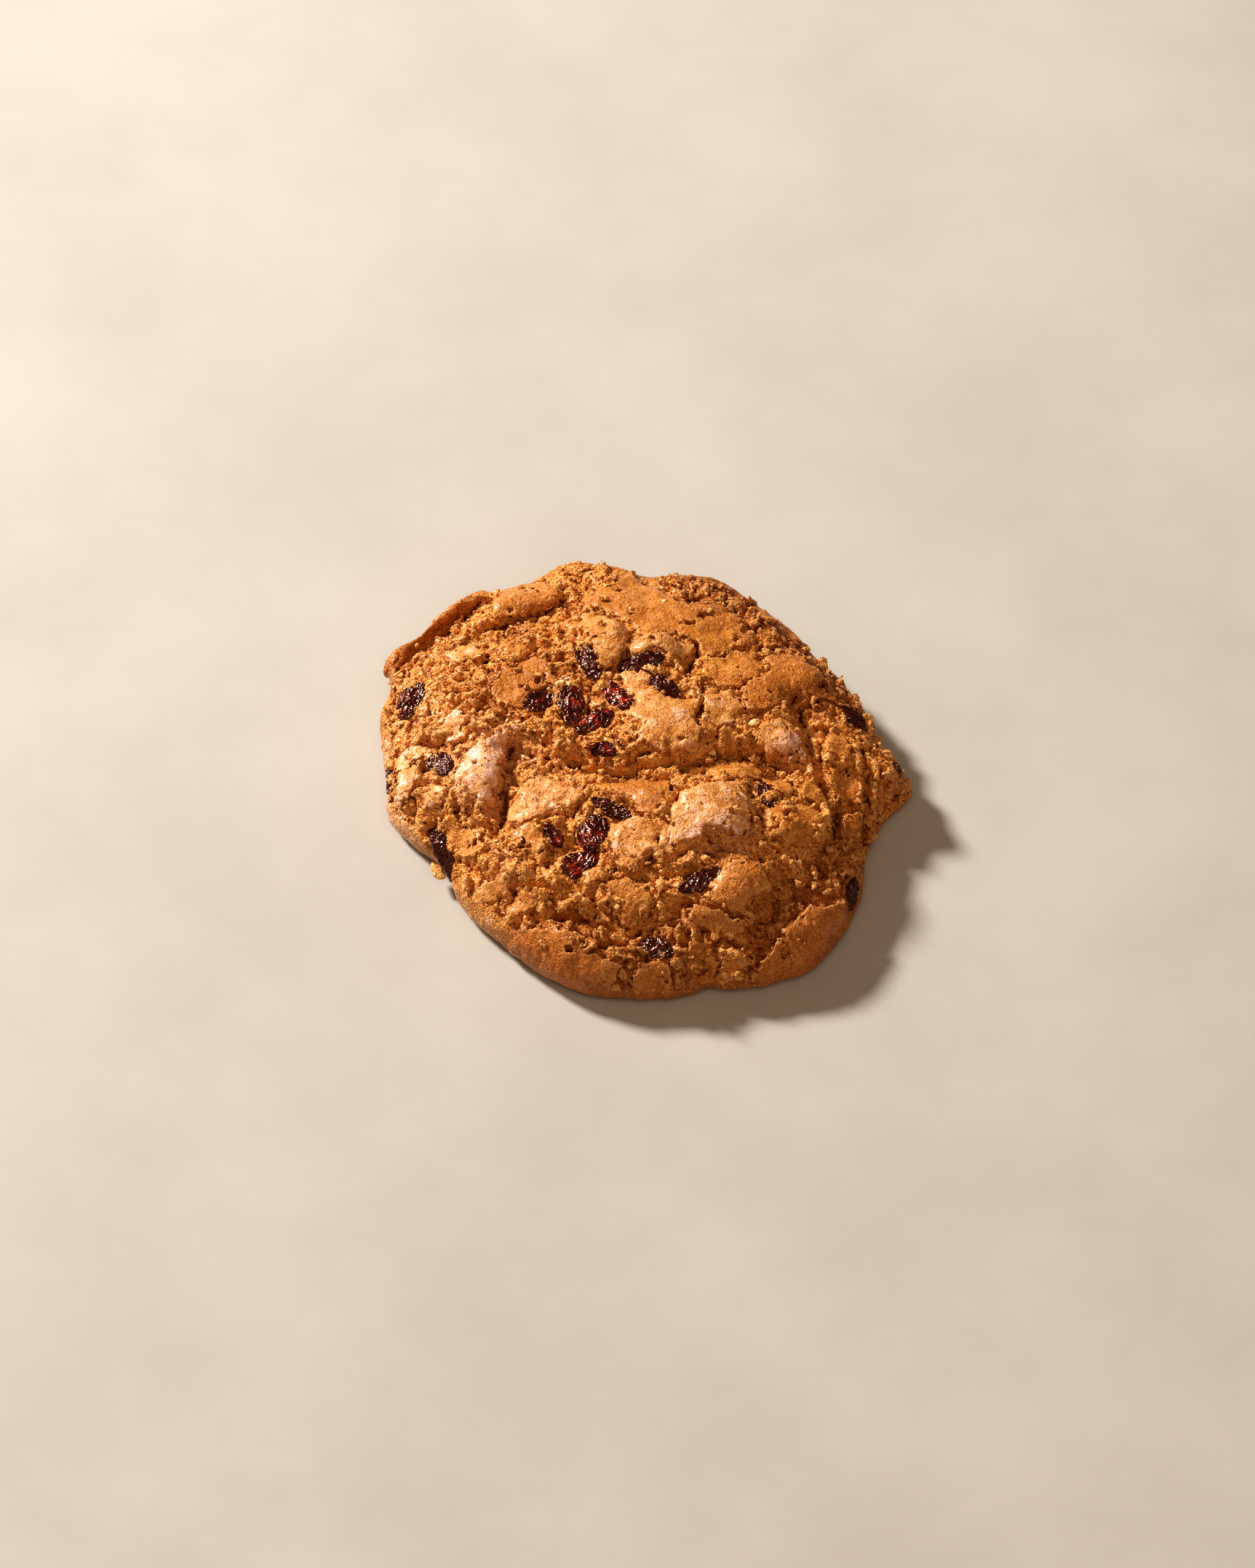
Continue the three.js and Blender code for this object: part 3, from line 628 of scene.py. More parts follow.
class Plan:
    """A fine flat grid over the cookie, with its plates and crevices drawn on it."""

    def __init__(self):
        self.step = step = PLAN_STEP
        self.low = np.array(cad_box[0][:2]) / MM - MARGIN
        high = np.array(cad_box[1][:2]) / MM + MARGIN
        self.shape = tuple(np.ceil((high - self.low) / step).astype(int) + 1)
        across = self.low[0] + np.arange(self.shape[0]) * step
        along = self.low[1] + np.arange(self.shape[1]) * step
        grid = np.stack(np.meshgrid(across, along, indexing="ij"), -1).reshape(-1, 2)
        self.torn = ragged(grid.astype(np.float32), 100)
        self.crevice = self.hollowed()
        self.plates()

    def near(self, places, reach):
        """Which of the grid's points lie within reach of a box round places."""
        low = np.min(places, 0) - reach
        high = np.max(places, 0) + reach
        return np.flatnonzero(((self.torn > low) & (self.torn < high)).all(1))

    def plates(self):
        """Distance to the nearest plate's edge, how far that plate stands up, and its tone."""
        count = len(self.torn)
        edges = {piece: np.full(count, 9.0, np.float32) for piece in CRUST_PIECES}
        nearest = np.full(count, 9.0, np.float32)
        stand = np.zeros(count, np.float32)
        tone = np.zeros(count, np.float32)
        for name, lift, shade, outline in PLATES:
            near = self.near(outline, 9)
            distance = outline_distance(self.torn[near], outline)
            bearing, rise = TIPPED.get(name, (0, 0))
            middle = (np.max(outline, 0) + np.min(outline, 0)) / 2
            span = np.ptp(outline, 0).max()
            uphill = (math.cos(math.radians(bearing)), math.sin(math.radians(bearing)))
            slope = np.clip((self.torn[near] - middle) @ np.array(uphill) / span, -0.5, 0.5)
            closer = distance < nearest[near]
            nearest[near[closer]] = distance[closer]
            stand[near[closer]] = lift + rise * slope[closer]
            tone[near[closer]] = shade
            piece = CRUST_PIECES[int(middle[1] < 12) + int(middle[1] < -12)]
            edges[piece][near] = np.minimum(edges[piece][near], distance)

        # Patches of tone: painted shade in the dark one at the back right, painted light in the
        # pale ones
        for x, y, radius, shade in TONE_PATCHES:
            away = ((self.torn - (x, y)) ** 2).sum(1)
            tone += shade * np.exp(-away / radius ** 2)

        # Places where the crust has come away, and chips of it left on the crumb
        spots = self.torn + 0.5 * np.stack([lumps(self.torn, 1.3, 120 + k) for k in (0, 1)], 1)
        worn = pebbles(spots, 4.6, 122, -1.6, 1.0)
        chips = pebbles(spots * (1, 1.4), 3.6, 123, -0.9, 1.5)
        chips = np.minimum(chips, pebbles(spots * (1.3, 1), 2.3, 124, -0.9, 0.75))
        chips = np.maximum(chips, self.crevice.ravel() - 0.4)
        edges = {piece: np.maximum(edge, -worn) for piece, edge in edges.items()}
        whole = np.minimum(np.maximum(nearest, -worn), chips)
        self.edges = {}
        for piece, edge in edges.items():
            others = np.min([edges[name] for name in CRUST_PIECES if name != piece], 0)
            own = edge
            if piece == "middle":
                own = np.minimum(own, chips)
            self.edges[piece] = np.maximum(own, (own - others) / 2).reshape(self.shape)
        self.edge = whole.reshape(self.shape)
        self.stand = np.where(nearest > 0.3, 0.0, stand).reshape(self.shape)
        self.tone = tone.reshape(self.shape)

    def hollowed(self):
        """How far the crumb drops into crevices and hollows."""
        drop = np.zeros(len(self.torn), np.float32)
        for depth, width, line in CREVICES:
            near = self.near(line, 4 * width)
            away = line_distance(self.torn[near], line)
            valley = depth * np.exp(-((away / width) ** 2))
            valley += 0.5 * depth * np.exp(-((away / CREVICE_FLOOR) ** 2))
            drop[near] = np.maximum(drop[near], valley)
        for x, y, radius, depth in HOLLOWS:
            near = self.near([(x, y)], 3 * radius)
            away = np.sqrt(((self.torn[near] - (x, y)) ** 2).sum(1))
            drop[near] += depth * np.exp(-((away / radius) ** 2))
        return drop.reshape(self.shape)

    def at(self, field, points):
        """The value of one of the plan's fields above or below points."""
        scaled = np.clip((points[:, :2] - self.low) / self.step, 0, np.array(self.shape) - 1.001)
        cell = np.floor(scaled).astype(int)
        part = (scaled - cell).astype(np.float32)
        total = 0
        for i, j in itertools.product((0, 1), repeat=2):
            weight = (part[:, 0] if i else 1 - part[:, 0]) * (part[:, 1] if j else 1 - part[:, 1])
            total = total + weight * field[cell[:, 0] + i, cell[:, 1] + j]
        return total


# ---------------------------------------------------------------- dough and crust

FOLD_BEARING = 32  # which way the long folds of the top run

# The smooth skin of the rim: how high it reaches, by bearing
SKIN_HEIGHTS = [
    (0, 3.5), (20, 6), (35, 8), (60, 9.5), (90, 9), (120, 8.5), (135, 8), (150, 7), (165, 6),
    (180, 6), (200, 6), (215, 6.5), (235, 8), (250, 7.5), (262, 6), (275, 4.5), (290, 5),
    (305, 8), (320, 7), (335, 4), (350, 3.2), (360, 3.5),
]


def skin_height(points):
    """How high the rim's smooth skin reaches; it gives way to crumb along the furrow."""
    bearings, heights = zip(*SKIN_HEIGHTS)
    bearing = np.degrees(np.arctan2(points[:, 1], points[:, 0])) % 360
    furrow = line_distance(points[:, :2], [place[:2] for place in FURROW[1]])
    return np.interp(bearing, bearings, heights) - 6 * smoothstep(2.9, 1.5, furrow)


def folds(points):
    """Soft waves and long folds over the top, in millimetres."""
    along, across = turned(points, FOLD_BEARING)
    place = np.stack([along / 7.5, across / 3.6, points[:, 2] / 9], 1)
    fold = 1 - 2 * np.abs(lumps(place, 1, 61)) - 0.3
    return waves(points, (0.34, 7, 62), (0.2, 3.4, 63), start=0.34 * fold)


RELAXINGS = 200  # rounds of evening out, until the membrane over the pockets is taut


def closed_pockets(lattice, dough):
    """The dough's field with the raisins' pockets closed over, as by a taut membrane."""
    field = np.clip(dough, -1.2, 1.2).ravel()
    points = lattice.places(np.ones(lattice.shape, bool))
    body, _ = raisin_fields(points)
    inner = np.zeros(lattice.shape, bool)
    inner[1:-1, 1:-1, 1:-1] = True
    index = np.flatnonzero((body < 1.3) & inner.ravel())
    strides = (lattice.shape[1] * lattice.shape[2], lattice.shape[2], 1)
    for _ in range(RELAXINGS):
        field[index] = sum(field[index - s] + field[index + s] for s in strides) / 6
    return field.reshape(lattice.shape)


def smooth_dough(lattice):
    """Distance to the dough's own smooth surface, without pockets, crust or crumb."""
    coarse = Lattice(0.7)
    field = coarse.distance_to([node_mesh("dough")], 4)
    field = coarse.blur(closed_pockets(coarse, field), 0.8)
    band = (field > -1.1) & (field < 1.1)
    points = coarse.places(band)
    values = field[band]
    calm = np.zeros(len(points), np.float32)
    for x, y, below, across, along, high, bearing in KNOBS:
        column = np.array([[x, y, z] for z in np.arange(1, 24, 0.1)], np.float32)
        inside = coarse.sample(field, column) < 0
        away = points - (x, y, column[inside][-1, 2] - below)
        u, v = turned(away, bearing)
        share = np.sqrt((u / across) ** 2 + (v / along) ** 2 + (away[:, 2] / high) ** 2)
        values = joined(values, (share - 1) * min(across, along, high), 1.0)
        calm = np.maximum(calm, 0.8 * np.exp(-((share / 1.3) ** 4)))
    values = joined(values, line_distance(points, LIP[1]) - LIP[0], 1.6)
    furrow = FURROW[0] - line_distance(points, FURROW[1]) + 0.5 * lumps(points, 3, 64)
    values = -joined(-values, -furrow, 1.2)
    rise = smoothstep(0, 3, points[:, 2] - skin_height(points))
    field[band] = values + folds(points) * rise * (1 - calm)
    points, triangles, quads = coarse.skin(field)
    split = np.concatenate([quads[:, [0, 1, 2]], quads[:, [0, 2, 3]], triangles.reshape(-1, 3)])
    return lattice.blur(lattice.distance_to([(points, split)], REACH), 0.5)


class Top:
    """What the crumb, the crust and the dough under them share, on the dough's lattice."""

    def __init__(self, lattice, base, plan):
        self.band = (base > -REACH + 0.1) & (base < 1.4)
        self.points = lattice.places(self.band)
        self.depth = base[self.band]
        self.edge = plan.at(plan.edge, self.points)
        self.raisin, self.hole = raisin_fields(self.points)
        skin = skin_height(self.points)
        skin = waves(self.points, (1.3, 5, 11), (0.9, 1.7, 12), start=skin)
        self.side = smoothstep(-0.4, 0.9, self.points[:, 2] - skin)
        # How far the crumb lies below the surface that the crust keeps to
        sunk = waves(self.points, (0.55, 4.6, 13), (0.3, 2.1, 14), start=0.5)
        sunk = np.maximum(sunk, -0.1) + plan.at(plan.crevice, self.points)
        sunk = np.minimum(sunk, DEEPEST_CRUMB)
        beside = 0.32 + 0.3 * lumps(self.points, 6, 16)
        self.sunk = beside + (sunk - beside) * smoothstep(-0.6, 1.1, self.edge)
        self.level = self.depth + self.side * self.sunk


LEAST_BASE = 1.6  # of dough under the deepest crumb


def dough_relief(base, top):
    """The body of the dough: its skin at the rim and underneath, and a bed for crumb and crust."""
    points = top.points
    skin = 0.16 * lumps(points, 3.2, 41) + 0.09 * lumps(points * (1, 1, 2.5), 1.3, 42)
    skin += 0.05 * lumps(points, 0.8, 45)
    under = smoothstep(-0.5, 0.3, top.edge)
    bed = top.side * (0.35 * (1 - under) + under * np.minimum(top.sunk + 1.15, 3.6))
    skin += under * top.side * (0.3 * lumps(points, 1.2, 46) - 0.4 * np.abs(lumps(points, 2.2, 47)))
    cover = np.maximum(top.raisin - 0.4, top.level + 0.25)
    surface = np.minimum(top.depth + bed + skin, np.maximum(cover, top.depth + 0.3 * top.side))
    surface = np.minimum(surface, np.maximum(top.depth + skin + 0.3, points[:, 2] - LEAST_BASE))
    surface = np.maximum(surface, -top.hole - 0.2)
    result = base.copy()
    result[top.band] = surface
    return result


def crumb_relief(fine, coarse, base, top, plan):
    """The open crumb between the plates: a broken layer of clumps, grain and pores.

    Gives its field on the fine lattice.
    """
    level = np.clip(base, -REACH, REACH)
    level[top.band] = top.depth + top.side * top.sunk + (1 - top.side) * 0.9
    cover = np.full(coarse.shape, REACH, np.float32)
    cover[top.band] = np.maximum(top.raisin - 0.4, top.level + 0.1)
    hole = np.full(coarse.shape, REACH, np.float32)
    hole[top.band] = top.hole

    field = fine.refined(level, coarse)
    layer = (field > -CRUMB_THICKNESS - 0.6) & (field < 1.5)
    places = fine.places(layer)
    edge = plan.at(plan.edge, places)
    wanted = (edge > -1.2) & (places[:, 2] > skin_height(places) - 2.5)
    layer[layer] = wanted
    edge = edge[wanted]
    points = places[wanted]
    level = field[layer]
    rough = level.copy()
    busy = np.abs(level) < 1.45
    spots = points[busy]
    warped = spots + 0.45 * np.stack([lumps(spots, 1.9, 20 + k) for k in range(3)], 1)
    relief = rough[busy]
    for n, (size, depth) in enumerate(CLUMPS):
        relief -= depth * (np.abs(lumps(warped, size, 31 + n)) * 1.6 - 0.56)

    def near_surface(centre, radius):
        return np.where(np.abs(fine.sample(field, centre) + 0.2) < 0.5, radius, -1)

    for pores in PORES:
        relief = np.maximum(relief, -pebbles(warped, *pores, near_surface))
    for size, depth, seed in GRAIN:
        grain = pebbles(warped, size, seed, 0, 0.15 * size) / size
        relief += depth * (np.minimum(grain, 0.6) - 0.3)
    rough[busy] = relief

    cover = coarse.sample(cover, points)
    rough = np.minimum(rough, cover + 0.15 * lumps(points, 0.8, 36))
    rough = np.maximum(rough, -level - CRUMB_THICKNESS)
    rough = np.maximum(rough, -0.9 - edge)
    rough = np.maximum(rough, -coarse.sample(hole, points) - waves(points, *TORN_OPENING))
    result = np.full(fine.shape, REACH, np.float32)
    result[layer] = rough
    return result


def crust_relief(lattice, base, plan, piece):
    """Plates of crust: thin slabs that follow the dough, torn along their edges."""
    band = (base > -1.3) & (base < 1.9)
    places = lattice.places(band)
    band[band] = (plan.at(plan.edges[piece], places) < 0.5) & (places[:, 2] > 0.4)
    points = lattice.places(band)
    depth = base[band]
    edge = plan.at(plan.edges[piece], points)
    _, hole = raisin_fields(points)
    lift = waves(points, (0.2, 4.5, 51), (0.17, 1.9, 52), start=plan.at(plan.stand, points))
    rolled = smoothstep(-1.3, 0, edge)
    curl = lumps(points, 5.5, 53)
    lift += rolled * np.where(curl < 0, 0.55 * curl, 0.3 * curl) - 0.12 * rolled
    lift += waves(points, (0.1, 0.95, 55), (0.08, 0.5, 54))
    slab = depth - lift
    slab = np.maximum(slab, -pebbles(points, 1.5, 56, -0.6, 0.34))
    slab = np.maximum(slab, -(depth + CRUST_THICKNESS))
    slab = np.maximum(slab, waves(points, (0.35, 0.95, 58), (0.25, 0.5, 59), start=edge + 0.15))
    slab = np.maximum(slab, -waves(points, *TORN_OPENING, start=hole))
    slab = np.maximum(slab, 0.9 + 0.3 * lumps(points, 2.6, 57) - points[:, 2])
    result = np.full(lattice.shape, REACH, np.float32)
    result[band] = slab
    return result


# The crumb's pieces: on which side of the middle each lies, in x and y
CRUMB_MIDDLE = (2, -6)
CRUMB_PIECES = {
    "back_left": (-1, 1), "back_right": (1, 1), "front_left": (-1, -1), "front_right": (1, -1)
}


def window(mask):
    """The smallest block of cells that holds a mask, with a cell to spare."""
    cut = []
    for axis in range(3):
        used = np.flatnonzero(mask.any(tuple(k for k in range(3) if k != axis)))
        cut.append(slice(max(used[0] - 2, 0), used[-1] + 3))
    return tuple(cut)


def crumb_quarter(lattice, field, sides):
    """One quarter of the crumb, which overlaps the others a little along wavering lines."""
    x, y, _ = ((np.arange(n) + s) * lattice.cell for n, s in zip(lattice.shape, lattice.start))
    flat = np.stack(np.meshgrid(x, y, indexing="ij"), -1).reshape(-1, 2)
    across, along = (
        flat[:, k] - CRUMB_MIDDLE[k] + 1.5 * lumps(flat, 3, 71 + k) for k in (0, 1)
    )
    apart = np.maximum(-sides[0] * across, -sides[1] * along) - OVERLAP
    apart = apart.reshape(lattice.shape[0], lattice.shape[1], 1)
    cut = window((field < REACH).any(2, keepdims=True) & (apart < 0))
    heights = window(field[cut[0], cut[1]] < REACH)[2]
    low = (cut[0].start, cut[1].start, heights.start)
    return np.maximum(field[cut[0], cut[1], heights], apart[cut[0], cut[1]]), low


def mesh_object(name, points, triangles, quads):
    """A smooth-shaded object from points in millimetres."""
    mesh = bpy.data.meshes.new(name)
    corners = np.concatenate([triangles.ravel(), quads.ravel()]).astype(np.int32)
    starts = np.concatenate([
        np.arange(len(triangles)) * 3, len(triangles) * 3 + np.arange(len(quads)) * 4
    ]).astype(np.int32)
    mesh.vertices.add(len(points))
    mesh.vertices.foreach_set("co", (points * MM).astype(np.float32).ravel())
    mesh.loops.add(len(corners))
    mesh.loops.foreach_set("vertex_index", corners)
    mesh.polygons.add(len(starts))
    mesh.polygons.foreach_set("loop_start", starts)
    mesh.update(calc_edges=True)
    mesh.validate()
    mesh.shade_smooth()
    return new_object(name, mesh)


def finished(obj):
    """Turns an object's modifiers into its plain mesh."""
    depsgraph = bpy.context.evaluated_depsgraph_get()
    mesh = bpy.data.meshes.new_from_object(obj.evaluated_get(depsgraph))
    obj.modifiers.clear()
    old = obj.data
    obj.data = mesh
    bpy.data.meshes.remove(old)
    mesh.name = obj.name


def thin_out(obj, limit):
    """Merges the flattest faces until the piece has at most `limit` triangles."""
    obj.data.calc_loop_triangles()
    count = len(obj.data.loop_triangles)
    if count > limit:
        thinner = obj.modifiers.new("thinner", "DECIMATE")
        thinner.ratio = limit / count
        finished(obj)
    obj.data.shade_smooth()


def put_attribute(obj, name, values):
    """Keeps a value for each vertex, for the finishes and grains to read."""
    layer = obj.data.attributes.new(name, "FLOAT", "POINT")
    layer.data.foreach_set("value", np.ascontiguousarray(values, np.float32))


def shade_attributes(obj, lattice, near, wide):
    """What the finishes read: how far a place stands out of its surroundings, near and wide, by
    which they paint shade into hollows and a highlight onto ridges.
    """
    places = vertex_places(obj.data)
    put_attribute(obj, "ridge", lattice.sample(near, places))
    put_attribute(obj, "rise", lattice.sample(wide, places))
    put_attribute(obj, "skin", skin_height(places) - places[:, 2])


def make_dough_and_crust():
    """The dough, its crumb and its crust, each piece with the attributes its finish reads.

    Gives the pieces, their lattice, and on it the level that raisins are pressed down to, the
    distance to all the pieces, and that distance softened a little and more widely.
    """
    plan = Plan()
    coarse = Lattice(DOUGH_CELL)
    base = smooth_dough(coarse)
    top = Top(coarse, base, plan)
    whole = dough_relief(base, top)
    pieces = {"dough_body": mesh_object("dough_body", *coarse.skin(whole))}
    thin_out(pieces["dough_body"], BODY_TRIANGLES)

    fine = Lattice(FINE_CELL)
    fine_base = fine.refined(base, coarse)
    crumb = crumb_relief(fine, coarse, base, top, plan)
    whole = np.minimum(whole, coarse.refined(crumb, fine))
    for name, sides in CRUMB_PIECES.items():
        field, low = crumb_quarter(fine, crumb, sides)
        pieces["crumb_" + name] = mesh_object("crumb_" + name, *fine.skin(field, low))
    for name in CRUST_PIECES:
        field = crust_relief(fine, fine_base, plan, name)
        whole = np.minimum(whole, coarse.refined(field, fine))
        cut = window(field < REACH)
        low = [part.start for part in cut]
        pieces["crust_" + name] = mesh_object("crust_" + name, *fine.skin(field[cut], low))
    for name, piece in pieces.items():
        thin_out(piece, LAYER_TRIANGLES)

    near = coarse.blur(np.clip(whole, -1, 1), 0.6)
    wide = coarse.blur(np.clip(whole, -2, 2), 2.0)
    for name, piece in pieces.items():
        places = vertex_places(piece.data)
        exposed = coarse.sample(whole, places) > -0.25
        if name.startswith("crust"):
            edge = plan.at(plan.edge, places)
            exposed = exposed * (0.06 + 0.94 * smoothstep(-1.1, -0.2, edge))
        put_attribute(piece, "exposed", exposed)
        shade_attributes(piece, coarse, near, wide)
        put_attribute(piece, "tone", plan.at(plan.tone, places))
        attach(piece, "root")
    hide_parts("dough")
    level = np.clip(base, -1.5, 1.5)
    level[top.band] = top.level
    return pieces, coarse, coarse.blur(np.clip(level, -1.5, 1.5), 0.7), whole, near, wide


pieces, lattice, level, whole, near, wide = make_dough_and_crust()


# ---------------------------------------------------------------- node trees


class Tree:
    """Adds nodes to a tree; inputs are values or other nodes' outputs."""

    def __init__(self, tree):
        self.tree = tree

    def add(self, kind, inputs=None, **settings):
        node = self.tree.nodes.new(kind)
        for name, value in settings.items():
            setattr(node, name, value)
        self.fill(node, inputs or {})
        return node

    def fill(self, node, inputs):
        for name, value in inputs.items():
            if isinstance(value, bpy.types.NodeSocket):
                self.tree.links.new(value, node.inputs[name])
            else:
                node.inputs[name].default_value = value

    def math(self, operation, a, b=0.0, c=0.0):
        return self.add("ShaderNodeMath", {0: a, 1: b, 2: c}, operation=operation).outputs[0]

    def stretch(self, vector, scale):
        inputs = {0: vector, "Scale": scale}
        return self.add("ShaderNodeVectorMath", inputs, operation="SCALE").outputs[0]

    def scaled(self, value, low, high, new_low, new_high):
        """A value carried smoothly from one range to another, and held inside it."""
        inputs = {
            "Value": value, "From Min": low, "From Max": high, "To Min": new_low, "To Max": new_high
        }
        node = self.add("ShaderNodeMapRange", inputs, interpolation_type="SMOOTHSTEP")
        return node.outputs[0]

    def noise(self, places, size, detail=2.0, roughness=0.5, distortion=0.0):
        """Noise from 0 to 1 with lumps about `size` millimetres across."""
        inputs = {
            "Vector": places, "Scale": 1 / (size * MM), "Detail": detail, "Roughness": roughness,
            "Distortion": distortion,
        }
        return self.add("ShaderNodeTexNoise", inputs).outputs[0]

    def blend(self, share, a, b):
        """A colour that runs from a to b."""
        a, b = ((*colour, 1) if isinstance(colour, tuple) else colour for colour in (a, b))
        return self.add("ShaderNodeMix", {0: share, 6: a, 7: b}, data_type="RGBA").outputs[2]

    def tinted(self, colour, *layers):
        """A colour with others over it, each as a value runs from low to high, up to a share."""
        for value, low, high, share, other in layers:
            colour = self.blend(self.scaled(value, low, high, 0, share), colour, other)
        return colour


# ---------------------------------------------------------------- finishes


CRUST_BROWN = (0.385, 0.107, 0.009)
CRUST_GOLD = (0.62, 0.237, 0.027)
CRUST_PALE = (0.84, 0.44, 0.20)
# Painted sheen: the pinkish-white of the palest plates
PAINTED_PINK_SHEEN = (0.94, 0.60, 0.50)
CRUST_SPECK = (0.92, 0.46, 0.16)
CRUMB_LIGHT = (1.0, 0.45, 0.086)
CRUMB_DEEP = (0.61, 0.158, 0.011)
CRUMB_BROWN = (0.42, 0.11, 0.009)
# Painted shade: the dark red-brown laid into pores, hollows and crevices
PAINTED_GAP_SHADE = (0.17, 0.011, 0.0003)
# Painted highlight: the pale gold laid onto ridges
PAINTED_RIDGE_HIGHLIGHT = (1.0, 0.55, 0.19)
RAISIN_BLACK = (0.022, 0.0015, 0.0003)
RAISIN_BROWN = (0.062, 0.005, 0.0006)
RAISIN_RED = (0.38, 0.02, 0.001)
CREAM_DEEP = (0.80, 0.42, 0.10)
CREAM_LIGHT = (0.95, 0.72, 0.36)
STONE_DARK = (0.49, 0.455, 0.40)
STONE_LIGHT = (0.54, 0.505, 0.445)


def new_material(name):
    """A new material, the builder of its tree, its shader, and places on the piece."""
    material = bpy.data.materials.new(name)
    material.use_nodes = True
    tree = Tree(material.node_tree)
    shader = material.node_tree.nodes["Principled BSDF"]
    return material, tree, shader, tree.add("ShaderNodeTexCoord").outputs["Object"]


def attribute(tree, name):
    return tree.add("ShaderNodeAttribute", attribute_name=name).outputs["Fac"]


def add_bump(tree, shader, heights):
    """Bumps from pairs of a height from 0 to 1 and its depth in millimetres."""
    normal = None
    for height, depth in heights:
        inputs = {"Height": height, "Distance": depth * MM, "Strength": 1.0}
        if normal is not None:
            inputs["Normal"] = normal
        normal = tree.add("ShaderNodeBump", inputs).outputs[0]
    tree.fill(shader, {"Normal": normal})


def speckle(tree, places, size):
    """Grains about `size` millimetres across: a random value for each, and its rounded height."""
    node = tree.add("ShaderNodeTexVoronoi", {"Vector": places, "Scale": 1 / (size * MM)})
    shade = tree.add("ShaderNodeSeparateXYZ", {0: node.outputs["Color"]}).outputs[0]
    return shade, tree.math("SUBTRACT", 1.0, node.outputs["Distance"])


def dots(tree, places, size, share, edge):
    """Round dots in some of the grains of a size: 1 in their middles, 0 between them."""
    shade, height = speckle(tree, places, size)
    return tree.math(
        "MULTIPLY", tree.scaled(shade, 0.5, share, 0, 1), tree.scaled(height, edge, 0.9, 0, 1)
    )


